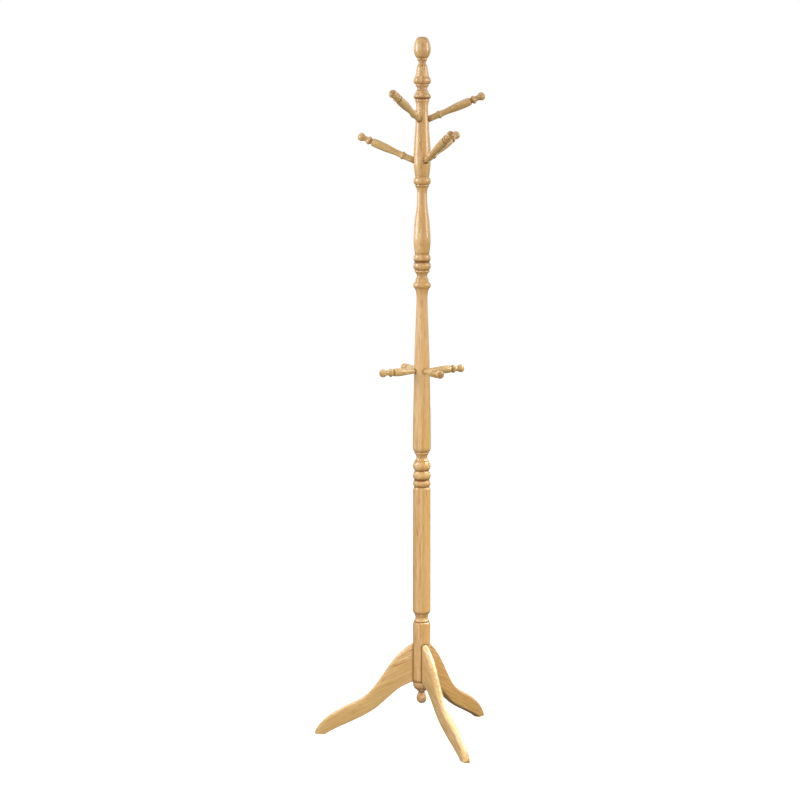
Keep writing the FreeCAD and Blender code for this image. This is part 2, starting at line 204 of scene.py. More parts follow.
class Signal:
    """A number on its way through a node tree. Arithmetic on it adds Math nodes."""

    def __init__(self, kit: NodeKit, socket: bpy.types.NodeSocket) -> None:
        """Keeps the tree's kit and the socket that carries the number."""
        self.kit = kit
        self.socket = socket

    def _math(self, operation: str, *values: Any) -> "Signal":
        """Adds a Math node.

        Args:
            operation: The node's operation.
            *values: Its inputs in order.

        Returns:
            The result.
        """
        sockets = {f"i{index}": value for index, value in enumerate(values)}
        return self.kit.signal("ShaderNodeMath", {"operation": operation}, **sockets)

    def __add__(self, other: Any) -> "Signal":
        """Sum."""
        return self._math("ADD", self, other)

    __radd__ = __add__

    def __sub__(self, other: Any) -> "Signal":
        """Difference."""
        return self._math("SUBTRACT", self, other)

    def __rsub__(self, other: Any) -> "Signal":
        """Difference, with this one taken away."""
        return self._math("SUBTRACT", other, self)

    def __mul__(self, other: Any) -> "Signal":
        """Product."""
        return self._math("MULTIPLY", self, other)

    __rmul__ = __mul__

    def __truediv__(self, other: Any) -> "Signal":
        """Quotient."""
        return self._math("DIVIDE", self, other)

    def __rtruediv__(self, other: Any) -> "Signal":
        """Quotient, with this one below the line."""
        return self._math("DIVIDE", other, self)

    def __mod__(self, other: Any) -> "Signal":
        """Remainder."""
        return self._math("FLOORED_MODULO", self, other)

    def __rmod__(self, other: Any) -> "Signal":
        """Remainder of a division by this one."""
        return self._math("FLOORED_MODULO", other, self)

    def floor(self) -> "Signal":
        """Whole part."""
        return self._math("FLOOR", self)

    def cos(self) -> "Signal":
        """Cosine of an angle in radians."""
        return self._math("COSINE", self)

    def sin(self) -> "Signal":
        """Sine of an angle in radians."""
        return self._math("SINE", self)

    def above(self, edge: float) -> "Signal":
        """1 where the number is over an edge, else 0."""
        return self._math("GREATER_THAN", self, edge)

    def ramp(self, low: float, high: float) -> "Signal":
        """Runs smoothly from 0 at low to 1 at high.

        Args:
            low: Where the result is 0.
            high: Where it is 1; it may be the smaller of the two.

        Returns:
            The result, held between 0 and 1.
        """
        settings = {"interpolation_type": "SMOOTHSTEP", "clamp": True}
        if low <= high:
            return self.kit.signal("ShaderNodeMapRange", settings, Value=self, From_Min=low, From_Max=high)
        return 1.0 - self.ramp(high, low)


# --- Turned outlines -----------------------------------------------------------------------------


def spline_through(
    knots: np.ndarray,
    spacing: float,
    start: np.ndarray | None = None,
    end: np.ndarray | None = None,
) -> np.ndarray:
    """Draws a smooth cubic curve through points in a plane.

    Args:
        knots: The points, one to a row.
        spacing: The longest step along the result.
        start: Unit direction at the first point, or None to take it from the first four points.
        end: Unit direction at the last point, or None to take it from the last four.

    Returns:
        Points along the curve, both ends included.
    """
    chords = np.linalg.norm(np.diff(knots, axis=0), axis=1)
    reach = np.concatenate(([0.0], np.cumsum(chords)))
    count = len(knots)
    few = min(4, count)
    if start is None:
        start = np.polyfit(reach[:few], knots[:few], few - 1)[-2]
    if end is None:
        end = np.polyfit(reach[-few:] - reach[-1], knots[-few:], few - 1)[-2]
    matrix = np.eye(count)
    right = np.zeros((count, 2))
    right[0], right[-1] = start, end
    for i in range(1, count - 1):
        before, after = chords[i - 1], chords[i]
        matrix[i, i - 1 : i + 2] = 1 / before, 2 / before + 2 / after, 1 / after
        right[i] = 3 * ((knots[i] - knots[i - 1]) / before**2 + (knots[i + 1] - knots[i]) / after**2)
    slopes = np.linalg.solve(matrix, right)
    points = [knots[:1]]
    for i, chord in enumerate(chords):
        t = np.linspace(0, 1, max(2, math.ceil(chord / spacing)) + 1)[1:, None]
        first = (2 * t**3 - 3 * t**2 + 1) * knots[i] + (t**3 - 2 * t**2 + t) * chord * slopes[i]
        last = (3 * t**2 - 2 * t**3) * knots[i + 1] + (t**3 - t**2) * chord * slopes[i + 1]
        points.append(first + last)
    return np.concatenate(points)


@dataclass(frozen=True)
class Line:
    """A straight run of the outline, or a step where it does not rise."""

    rise: float
    diameter: float
    step: float = 6.0

    def draw(self, start: np.ndarray) -> np.ndarray:
        """Returns the points after the start, as (radius, height) rows.

        Args:
            start: Where the outline has come to.

        Returns:
            Points along the run, close together at its ends.
        """
        end = np.array([self.diameter / 2, start[1] + self.rise])
        margin = 1.5
        if self.rise < 3 * margin:
            return end[None]
        inner = np.linspace(margin, self.rise - margin, max(2, round(self.rise / self.step)))
        return start + np.append(inner, self.rise)[:, None] / self.rise * (end - start)


@dataclass(frozen=True)
class Bead:
    """An arc that swells out as a bead or dips in as a cove."""

    rise: float
    middle: float
    diameter: float
    step: float = 0.9

    def draw(self, start: np.ndarray) -> np.ndarray:
        """Returns the points after the start, as (radius, height) rows.

        Args:
            start: Where the outline has come to.

        Returns:
            Points along the arc through its middle to its end.
        """
        middle = np.array([self.middle / 2, start[1] + self.rise / 2])
        end = np.array([self.diameter / 2, start[1] + self.rise])
        rows = np.array([middle - start, end - start])
        sums = np.array([middle @ middle - start @ start, end @ end - start @ start]) / 2
        centre = np.linalg.solve(rows, sums)
        spokes = [point - centre for point in (start, middle, end)]
        angles = np.unwrap([math.atan2(y, x) for x, y in spokes])
        radius = float(np.linalg.norm(spokes[0]))
        count = max(6, math.ceil(abs(angles[2] - angles[0]) * radius / self.step))
        turn = np.linspace(angles[0], angles[2], count + 1)[1:]
        return centre + radius * np.column_stack((np.cos(turn), np.sin(turn)))


@dataclass(frozen=True)
class Curve:
    """A free curve through (rise, diameter) places measured from its start."""

    places: tuple[Place, ...]
    dome: bool = False
    step: float = 2.5

    def draw(self, start: np.ndarray) -> np.ndarray:
        """Returns the points after the start, as (radius, height) rows.

        Args:
            start: Where the outline has come to.

        Returns:
            Points along the curve; a dome ends level on the axis.
        """
        knots = [start] + [np.array([across / 2, start[1] + rise]) for rise, across in self.places]
        if not self.dome:
            return spline_through(np.array(knots), self.step)[1:]
        first = (knots[1] - knots[0]) / np.linalg.norm(knots[1] - knots[0])
        return spline_through(np.array(knots), self.step / 2, first, np.array([-1.0, 0.0]))[1:]


Element = Line | Bead | Curve


@dataclass(frozen=True)
class Outline:
    """The profile of a turned piece, drawn upwards from its lower end, with its edges just eased."""

    start: float
    elements: tuple[Element, ...]
    eased: float = 0.35

    @cached_property
    def points(self) -> np.ndarray:
        """The whole profile.

        Returns:
            (radius, height) rows, with the lower end at height 0.
        """
        points = np.array([[self.start / 2, 0.0]])
        for element in self.elements:
            points = np.concatenate((points, element.draw(points[-1])))
        apart = np.concatenate(([True], np.linalg.norm(np.diff(points, axis=0), axis=1) > 1e-6))
        return self._ease(points[apart])

    @property
    def height(self) -> float:
        """The piece's height."""
        return float(self.points[-1, 1])

    def radius_at(self, height: float) -> float:
        """The piece's radius at a height."""
        return float(np.interp(height, self.points[:, 1], self.points[:, 0]))

    def hollow_at(self, heights: np.ndarray) -> np.ndarray:
        """How deep in a groove each height lies.

        Args:
            heights: Heights on the piece.

        Returns:
            0 on open surface, up to 1 at the bottom of a narrow groove.
        """
        step = 0.25
        grid = np.arange(0.0, self.height + step, step)
        radii = np.interp(grid, self.points[:, 1], self.points[:, 0])
        high = radii.max()
        full = 0.7  # an end wider than this share of the widest place is taken to meet a piece as wide
        ends = tuple(high if radius > full * high else radius for radius in radii[[0, -1]])
        total = np.zeros(len(grid))
        for reach, depth, share in ((2.5, 1.0, 0.75), (8.0, 7.0, 0.3)):
            half = round(reach / step)
            padded = np.pad(radii, 2 * half, constant_values=(ends,))
            window = np.lib.stride_tricks.sliding_window_view
            closed = window(window(padded, 2 * half + 1).max(axis=1), 2 * half + 1).min(axis=1)
            total += share * np.clip((closed - radii) / depth, 0.0, 1.0)
        return np.interp(heights, grid, np.clip(total, 0.0, 1.0))

    def below(self, tenon: float, length: float) -> "Outline":
        """Returns the same piece on a tenon.

        Args:
            tenon: The tenon's diameter.
            length: Its length.

        Returns:
            The outline, whose lower end is now the tenon's.
        """
        return Outline(tenon, (Line(length, tenon), Line(0.0, self.start), *self.elements), self.eased)

    def _ease(self, points: np.ndarray) -> np.ndarray:
        """Rounds the sharp corners of a profile.

        Args:
            points: The profile.

        Returns:
            The profile with a short curve at each corner.
        """
        eased = [points[0]]
        for before, corner, after in zip(points, points[1:], points[2:]):
            back, ahead = before - corner, after - corner
            lengths = np.linalg.norm(back), np.linalg.norm(ahead)
            turn = math.acos(np.clip(-(back @ ahead) / lengths[0] / lengths[1], -1, 1))
            if turn < SHARP_ANGLE:
                eased.append(corner)
                continue
            cut = min(self.eased, 0.42 * min(lengths))
            first, last = corner + back / lengths[0] * cut, corner + ahead / lengths[1] * cut
            for share in (0.0, 1 / 3, 2 / 3, 1.0):
                eased.append((1 - share) ** 2 * first + 2 * share * (1 - share) * corner + share**2 * last)
        return np.array(eased + [points[-1]])


# --- Sizes that pieces share ---------------------------------------------------------------------

POST_FOOT = 142.0
POST = 43.5
BEAD = 44.2
BEAD_FOOT = 36.5
GROOVE = 34.8
RING = 38.3
COVE = 27.0
FIT = 0.05
END_GAP = 0.5  # left beyond the end of what goes into a blind hole

PEG_HEAD: tuple[Element, ...] = (
    Bead(4.5, 13.4, 15.5),
    Bead(8.0, 20.8, 15.5),
    Bead(9.6, 12.8, 14.5),
    Curve(((3.2, 18.4), (7.4, 20.4), (12.4, 17.6), (15.4, 10.0), (16.2, 0.0)), dome=True),
)


class Mesher:
    """Small mesh builders that all the pieces use."""

    @staticmethod
    def from_bmesh(form: bmesh.types.BMesh, name: str) -> bpy.types.Mesh:
        """Turns a bmesh into a closed mesh whose faces point outwards.

        Args:
            form: The bmesh, which is freed.
            name: The new mesh's name.

        Returns:
            The mesh.
        """
        bmesh.ops.remove_doubles(form, verts=form.verts, dist=WELD)
        bmesh.ops.dissolve_degenerate(form, dist=WELD, edges=form.edges)
        bmesh.ops.recalc_face_normals(form, faces=form.faces)
        mesh = bpy.data.meshes.new(name)
        form.to_mesh(mesh)
        form.free()
        return mesh

    @staticmethod
    def prism(name: str, corners: Sequence[Vector], path: Vector) -> bpy.types.Mesh:
        """Extrudes a flat polygon.

        Args:
            name: The new mesh's name.
            corners: The polygon, in metres.
            path: How far and which way it is drawn out.

        Returns:
            The closed prism.
        """
        form = bmesh.new()
        near = [form.verts.new(corner) for corner in corners]
        far = [form.verts.new(corner + path) for corner in corners]
        form.faces.new(near)
        form.faces.new(reversed(far))
        for i, vert in enumerate(near):
            after = (i + 1) % len(near)
            form.faces.new((vert, far[i], far[after], near[after]))
        return Mesher.from_bmesh(form, name)

    @staticmethod
    def smooth(mesh: bpy.types.Mesh) -> None:
        """Shades a mesh smooth except across its sharp edges."""
        mesh.polygons.foreach_set("use_smooth", [True] * len(mesh.polygons))
        mesh.set_sharp_from_angle(angle=SHARP_ANGLE)

    @staticmethod
    def object(name: str, mesh: bpy.types.Mesh) -> bpy.types.Object:
        """Puts a mesh in the scene at the origin.

        Args:
            name: The object's name.
            mesh: The mesh.

        Returns:
            The new object.
        """
        piece = bpy.data.objects.new(name, mesh)
        bpy.context.scene.collection.objects.link(piece)
        return piece

    @staticmethod
    def settled(piece: bpy.types.Object) -> bpy.types.Mesh:
        """Applies an object's modifiers.

        Args:
            piece: The object.

        Returns:
            The plain mesh that it now has.
        """
        graph = bpy.context.evaluated_depsgraph_get()
        mesh = bpy.data.meshes.new_from_object(piece.evaluated_get(graph), depsgraph=graph)
        piece.modifiers.clear()
        old, piece.data = piece.data, mesh
        bpy.data.meshes.remove(old)
        return mesh

    @staticmethod
    def carve(piece: bpy.types.Object, cutters: Iterable[bpy.types.Mesh]) -> None:
        """Cuts closed shapes out of a piece, one after another.

        Args:
            piece: The piece.
            cutters: The shapes, which are removed afterwards.
        """
        tools = [Mesher.object(f"{piece.name}_cutter", cutter) for cutter in cutters]
        for tool in tools:
            cut = piece.modifiers.new("cut", "BOOLEAN")
            cut.operation = "DIFFERENCE"
            cut.solver = "EXACT"
            cut.object = tool
        Mesher.settled(piece)
        for tool in tools:
            mesh = tool.data
            bpy.data.objects.remove(tool)
            bpy.data.meshes.remove(mesh)


class Lathe:
    """A Geometry Nodes tree that spins an outline into a piece and sets it in its place."""

    def __init__(self) -> None:
        """Builds the tree and its named inputs."""
        self.tree = bpy.data.node_groups.new("Lathe", "GeometryNodeTree")
        self.tree.is_modifier = True
        self.names: dict[str, str] = {}
        sockets = self.tree.interface
        kinds = {
            "Outline": "Geometry",
            "Segments": "Int",
            "Tilt": "Float",
            "Direction": "Float",
            "Seat": "Vector",
            "Finish": "Material",
        }
        for name, kind in kinds.items():
            socket = sockets.new_socket(name=name, in_out="INPUT", socket_type=f"NodeSocket{kind}")
            self.names[name] = socket.identifier
        sockets.new_socket(name="Piece", in_out="OUTPUT", socket_type="NodeSocketGeometry")
        self._wire()

    def _wire(self) -> None:
        """Lays a grid with a row for each point of the outline, wraps it round and sets it in place."""
        kit = NodeKit(self.tree)
        inputs = kit.add("NodeGroupInput").outputs
        segments = Signal(kit, inputs["Segments"])
        size = {"component": "MESH"}
        rings = kit.signal("GeometryNodeAttributeDomainSize", size, "Point Count", Geometry=inputs["Outline"])
        across = segments + 1.0
        grid = kit.signal("GeometryNodeMeshGrid", None, "Mesh", Vertices_X=rings, Vertices_Y=across)
        index = kit.signal("GeometryNodeInputIndex")
        ring = (index / across).floor()
        spoke = index % across
        point = kit.signal(
            "GeometryNodeSampleIndex",
            {"data_type": "FLOAT_VECTOR", "domain": "POINT"},
            Geometry=inputs["Outline"],
            Value=kit.signal("GeometryNodeInputPosition"),
            Index=ring,
        )
        parts = kit.add("ShaderNodeSeparateXYZ", None, Vector=point).outputs
        radius = Signal(kit, parts["X"])
        angle = spoke / segments * math.tau
        place = kit.signal(
            "ShaderNodeCombineXYZ", X=radius * angle.cos(), Y=radius * angle.sin(), Z=Signal(kit, parts["Z"])
        )
        spun = kit.signal("GeometryNodeSetPosition", None, Geometry=grid, Position=place)
        closed = kit.signal("GeometryNodeMergeByDistance", None, Geometry=spun, Distance=WELD)
        lean = kit.signal("ShaderNodeCombineXYZ", Y=math.pi / 2 - Signal(kit, inputs["Tilt"]))
        turn = kit.signal("ShaderNodeCombineXYZ", Z=Signal(kit, inputs["Direction"]))
        seat = Signal(kit, inputs["Seat"])
        leant = kit.signal("GeometryNodeTransform", Geometry=closed, Translation=seat, Rotation=lean)
        turned = kit.signal("GeometryNodeTransform", None, Geometry=leant, Rotation=turn)
        real = kit.signal("GeometryNodeRealizeInstances", None, Geometry=turned)
        done = kit.signal("GeometryNodeSetMaterial", None, Geometry=real, Material=inputs["Finish"])
        kit.add("NodeGroupOutput", None, Piece=done)

    def turn(
        self,
        name: str,
        outline: Outline,
        finish: bpy.types.Material,
        place: "Setting",
        segments: int,
    ) -> bpy.types.Object:
        """Turns one piece and leaves it as a plain closed mesh.

        Args:
            name: The new object's name.
            outline: The profile.
            finish: The material.
            place: Where the piece stands and how it leans.
            segments: How many facets go round it.

        Returns:
            The new object.
        """
        rows = outline.points
        ends = [[0.0, rows[0, 1]]], rows, [[0.0, rows[-1, 1]]]
        profile = np.concatenate(ends if rows[-1, 0] > 0 else ends[:2])
        mesh = bpy.data.meshes.new(name)
        places = [(radius * MM, 0.0, height * MM) for radius, height in profile]
        mesh.from_pydata(places, [(i, i + 1) for i in range(len(places) - 1)], [])
        piece = Mesher.object(name, mesh)
        spin = piece.modifiers.new("Lathe", "NODES")
        spin.node_group = self.tree
        values = {
            "Segments": segments,
            "Tilt": math.radians(place.tilt),
            "Direction": math.radians(place.direction),
            "Seat": (place.radial * MM, 0.0, place.height * MM),
            "Finish": finish,
        }
        for label, value in values.items():
            spin[self.names[label]] = value
        plain = Mesher.settled(piece)
        form = bmesh.new()
        form.from_mesh(plain)
        piece.data = Mesher.from_bmesh(form, name)
        piece.data.materials.append(finish)
        bpy.data.meshes.remove(plain)
        return piece


@dataclass(frozen=True)
class Setting:
    """Where a turned piece's lower end lies, and how it leans: 90 degrees is upright."""

    height: float
    radial: float = 0.0
    tilt: float = 90.0
    direction: float = 0.0

    @property
    def matrix(self) -> Matrix:
        """The move from the piece's own axes to the rack's.

        Returns:
            The move, in metres.
        """
        turn = Matrix.Rotation(math.radians(self.direction), 4, "Z")
        move = Matrix.Translation((self.radial * MM, 0.0, self.height * MM))
        return turn @ move @ Matrix.Rotation(math.radians(90.0 - self.tilt), 4, "Y")


# --- Wood ----------------------------------------------------------------------------------------


@dataclass(frozen=True)
class Blank:
    """How a piece lies in the timber it was cut from: where the heart is and where two strips are glued."""

    heart: Place  # from the piece's axis to the heart of the tree
    along: float = 0.0  # how far up the tree the piece starts
    turn: float = -VIEW_SIDE - 90.0  # turns the timber about the piece's own axis, degrees
    glue: float | None = None  # distance of the glued joint from the axis, or None for one solid strip

    def lay(self, mesh: bpy.types.Mesh, timber: Matrix, painted_shades: Callable[[np.ndarray], np.ndarray]) -> None:
        """Writes the timber's own coordinates onto a mesh, for its finish to read.

        The attributes are grain, the place in the tree with the fibres along its third axis; glue, the
        distance past the glued joint; end, how nearly the surface faces along the fibres; and crease,
        how much painted shade it gets in a groove or a joint.

        Args:
            mesh: The piece, in the rack's axes.
            timber: The move from the piece's own axes to the rack's.
            painted_shades: Gives the painted shade at each of the piece's own places, in millimetres.
        """
        home = np.array(timber.inverted())
        back = np.array(Matrix.Rotation(math.radians(self.turn), 4, "Z") @ timber.inverted())
        count = len(mesh.vertices)
        places, normals = np.zeros(count * 3), np.zeros(count * 3)
        mesh.vertices.foreach_get("co", places)
        mesh.vertices.foreach_get("normal", normals)
        own = (places.reshape(-1, 3) @ home[:3, :3].T + home[:3, 3]) / MM
        local = places.reshape(-1, 3) @ back[:3, :3].T + back[:3, 3]
        facing = normals.reshape(-1, 3) @ back[:3, :3].T
        glue = -np.ones(count) if self.glue is None else local[:, 0] - self.glue * MM
        grain = local + np.array((self.heart[0], self.heart[1], self.along)) * MM
        self._store(mesh, "grain", "FLOAT_VECTOR", "vector", grain)
        self._store(mesh, "glue", "FLOAT", "value", glue)
        self._store(mesh, "end", "FLOAT", "value", np.abs(facing[:, 2]))
        # Painted shade in grooves, sockets and joints.
        self._store(mesh, "crease", "FLOAT", "value", np.clip(painted_shades(own), 0.0, 1.0))

    @staticmethod
    def _store(mesh: bpy.types.Mesh, name: str, kind: str, field_name: str, values: np.ndarray) -> None:
        """Writes one attribute of a mesh's vertices."""
        layer = mesh.attributes.get(name) or mesh.attributes.new(name, kind, "POINT")
        layer.data.foreach_set(field_name, values.astype(np.float32).ravel())


def new_material(name: str) -> tuple[bpy.types.Material, NodeKit]:
    """Starts a material.

    Args:
        name: Its name.
    """
    material = bpy.data.materials.new(name)
    material.use_nodes = True
    material.node_tree.nodes.clear()
    return material, NodeKit(material.node_tree)


@dataclass(frozen=True)
class Knot:
    """A pin knot at one place on a piece, in metres."""

    place: tuple[float, float, float]
    radius: float


@dataclass(frozen=True)
class Wood:
    """A light hardwood under clear semi-gloss lacquer, or bare."""

    name: str
    pale: Colour = srgb(226, 187, 133)
    mid: Colour = srgb(210, 164, 104)
    deep: Colour = srgb(172, 118, 56)
    second: Colour = srgb(210, 160, 78)  # the other strip's tone
    second_share: float = 0.5  # how far the other strip goes to that tone
    pore: Colour = srgb(140, 92, 48)
    # Colour of the painted shade in grooves and joints, and of a knot's heart.
    shade_and_knot: Colour = srgb(124, 70, 16)
    ring: float = 0.0070
    figure: float = 0.18  # how strongly the growth rings show
    seam: float = 0.2  # how dark a glued joint is
    busy: float = 1.0  # how strongly the fibres and pores show
    shade_strength: float = 0.85  # how dark the painted shade in grooves and joints gets, and how much of the lacquer's reflection it takes away
    lacquer: float = 0.85
    coat_roughness: float = 0.11
    roughness: float = 0.42
    knots: tuple[Knot, ...] = ()

    def material(self) -> bpy.types.Material:
        """Builds the material.

        Returns:
            The new material.
        """
        material, kit = new_material(self.name)
        side = kit.attribute("glue").above(0.0)
        grain = self._grain(kit, side)
        fibre = self._noise(kit, grain, (620.0, 620.0, 9.0), 3.0)
        dashes = self._noise(kit, grain, (300.0, 300.0, 22.0), 1.0)
        flecks = self._noise(kit, grain, (520.0, 520.0, 38.0), 0.0).ramp(0.66, 0.80)
        streak = self._noise(kit, grain, (70.0, 70.0, 1.7), 2.0)
        cloud = self._noise(kit, grain, (13.0, 13.0, 2.4), 2.0)
        pores = self._noise(kit, grain, (1500.0, 1500.0, 42.0), 1.0).ramp(0.62, 0.72)
        rings = self._rings(kit, grain, streak)
        end = kit.attribute("end")
        crease = kit.attribute("crease")
        depth = 0.26 + self.figure * rings + 0.5 * (streak - 0.5) + 0.5 * (cloud - 0.5)
        depth = depth + self.busy * (0.95 * (dashes - 0.5) + 0.42 * (fibre - 0.5) + 0.55 * flecks)
        depth = depth + 0.5 * end.ramp(0.2, 0.95)
        colour = kit.mix(depth.ramp(0.0, 0.55), self.pale, self.mid)
        colour = kit.mix(depth.ramp(0.35, 1.15), colour, self.deep)
        colour = kit.mix(side * self.second_share, colour, self.second)
        seam = self._seam(kit)
        colour = kit.mix(pores * 0.35, colour, self.pore)
        colour = kit.mix(seam * self.seam, colour, self.pore)
        for knot in self.knots:
            colour = kit.mix(self._knot(kit, knot), colour, self.shade_and_knot)
        # Painted shade: grooves, sockets and the joints against other pieces are darkened where shade falls.
        colour = kit.mix(crease * self.shade_strength, colour, self.shade_and_knot)
        rough = self.roughness + 0.1 * (fibre - 0.5) + 0.12 * pores
        height = 0.6 * fibre + 0.25 * streak - 0.8 * pores - 0.6 * seam
        bump = kit.signal("ShaderNodeBump", None, "Normal", Strength=0.18, Distance=0.00012, Height=height)
        surface = kit.signal(
            "ShaderNodeBsdfPrincipled",
            Base_Color=colour,
            Roughness=rough,
            Normal=bump,
            # Painted shade also takes away some of the lacquer's reflection there.
            Coat_Weight=self.lacquer * (1.0 - self.shade_strength * crease),
            Coat_Roughness=self.coat_roughness,
            Coat_IOR=1.5,
            Specular_IOR_Level=0.45,
        )
        kit.add("ShaderNodeOutputMaterial", Surface=surface)
        return material

    @staticmethod
    def _grain(kit: NodeKit, side: Signal) -> Signal:
        """Reads the timber's coordinates, shifts the second strip in the tree and makes them wander.

        Args:
            kit: The material's tree.
            side: 1 on the second strip and 0 on the first.

        Returns:
            The coordinates.
        """
        grain = kit.attribute("grain", "Vector")
        away = kit.signal("ShaderNodeCombineXYZ", X=0.031 * side, Y=-0.058 * side, Z=0.43 * side)
        grain = kit.vector("ADD", grain, away)
        slow = kit.vector("MULTIPLY", grain, (11.0, 11.0, 2.1))
        wander = kit.signal("ShaderNodeTexNoise", None, "Color", Vector=slow, Scale=1.0, Detail=2.0)
        return kit.vector("MULTIPLY_ADD", wander, (0.011, 0.011, 0.0), grain)

    @staticmethod
    def _noise(kit: NodeKit, grain: Signal, scale: tuple[float, float, float], detail: float) -> Signal:
        """Noise stretched along the fibres.

        Args:
            kit: The material's tree.
            grain: The timber's coordinates.
            scale: How often it repeats across, through and along, per metre.
            detail: How many finer layers it has.

        Returns:
            A number from 0 to 1.
        """
        stretched = kit.vector("MULTIPLY", grain, scale)
        return kit.signal("ShaderNodeTexNoise", None, 0, Vector=stretched, Scale=1.0, Detail=detail)

    def _rings(self, kit: NodeKit, grain: Signal, streak: Signal) -> Signal:
        """The growth rings: pale at first, then darkening to a line.

        Args:
            kit: The material's tree.
            grain: The timber's coordinates.
            streak: Noise that makes the rings uneven.

        Returns:
            0 in early wood and 1 on a ring's dark line.
        """
        flat = kit.vector("MULTIPLY", grain, (1.0, 1.0, 0.012))
        out = kit.vector("LENGTH", flat, out="Value")
        phase = (out / self.ring + 1.1 * streak) % 1.0
        return phase.ramp(0.15, 0.93) * phase.ramp(1.0, 0.94)

    @staticmethod
    def _seam(kit: NodeKit) -> Signal:
        """The hairline where two strips are glued: 1 on it and 0 elsewhere."""
        glue = kit.attribute("glue")
        return glue.ramp(-0.0006, -0.0001) * glue.ramp(0.0006, 0.0001)

    @staticmethod
    def _knot(kit: NodeKit, knot: Knot) -> Signal:
        """How strongly a pin knot darkens each point.

        Args:
            kit: The material's tree.
            knot: The knot.

        Returns:
            1 at its heart and 0 beyond it.
        """
        place = kit.signal("ShaderNodeTexCoord", None, "Object")
        away = kit.vector("DISTANCE", place, knot.place, out="Value")
        return 0.95 * away.ramp(knot.radius * 1.4, knot.radius * 0.6)

@dataclass(frozen=True)
class Metal:
    """Plated or plain metal with fine turning marks."""

    name: str
    colour: Colour
    roughness: float = 0.3

    def material(self) -> bpy.types.Material:
        """Builds the material.

        Returns:
            The new material.
        """
        material, kit = new_material(self.name)
        place = kit.signal("ShaderNodeTexCoord", None, "Object")
        ringed = kit.vector("MULTIPLY", place, (60.0, 60.0, 4000.0))
        marks = kit.signal("ShaderNodeTexNoise", None, 0, Vector=ringed, Scale=1.0, Detail=2.0)
        dull = tuple(0.72 * value for value in self.colour)
        colour = kit.mix(marks, self.colour, dull)
        rough = self.roughness + 0.2 * (marks - 0.5)
        bump = kit.signal("ShaderNodeBump", None, "Normal", Strength=0.2, Distance=0.0001, Height=marks)
        surface = kit.signal(
            "ShaderNodeBsdfPrincipled", Base_Color=colour, Metallic=1.0, Roughness=rough, Normal=bump
        )
        kit.add("ShaderNodeOutputMaterial", Surface=surface)
        return material


class Slot(Enum):
    """The record's material slots."""

    POST = "post_wood"
    FINIAL = "finial_wood"
    LEG = "leg_wood"
    PEG = "peg_wood"
    DOWEL = "dowel_wood"
    BOLT = "bolt_steel"
    INSERT = "insert_brass"


def finish_piece(
    piece: bpy.types.Object,
    node: str,
    blank: Blank,
    timber: Matrix,
    painted_shades: Callable[[np.ndarray], np.ndarray],
    note: str,
) -> None:
    """Shades a piece, lays it in its timber and sets it on the frame in place of its solid.

    Args:
        piece: The finished shape.
        node: The solid it stands for.
        blank: How it lies in its timber.
        timber: The move from the piece's own axes to the rack's.
        painted_shades: Gives the painted shade at the piece's own places.
        note: What to say of it in the log.
    """
    Mesher.smooth(piece.data)
    blank.lay(piece.data, timber, painted_shades)
    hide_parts(node)
    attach(piece, BODY)
    low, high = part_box(node)
    log.info("%s: %s, %d faces, solid %s to %s", piece.name, note, len(piece.data.polygons), low[:], high[:])


def turned_painted_shades(
    outline: Outline, beside: Callable[[np.ndarray], np.ndarray] | None = None
) -> Callable[[np.ndarray], np.ndarray]:
    """The painted shade on a turned piece: in its grooves and inside whatever is cut into it.

    Args:
        outline: The piece's profile.
        beside: Gives how nearly each place lies against another piece, if one stands beside this.

    Returns:
        A function from the piece's own places to the painted shade at each.
    """

    shallow, fade, end = 0.5, 1.5, 1.0  # millimetres: what counts as a cut, how it darkens, the ends left out

    def crease(own: np.ndarray) -> np.ndarray:
        """Gives the painted shade at each of the piece's own places.

        Args:
            own: The places.

        Returns:
            The painted shade at each, from 0 to 1.
        """
        up = own[:, 2]
        inside = np.interp(up, outline.points[:, 1], outline.points[:, 0]) - np.hypot(own[:, 0], own[:, 1])
        between = (up > end) * (up < outline.height - end)
        cut = np.clip((inside - shallow) / fade, 0.0, 1.0) * between
        grooves = np.maximum(outline.hollow_at(up), cut)
        return grooves if beside is None else np.maximum(grooves, beside(own))

    return crease


# --- Pegs ----------------------------------------------------------------------------------------


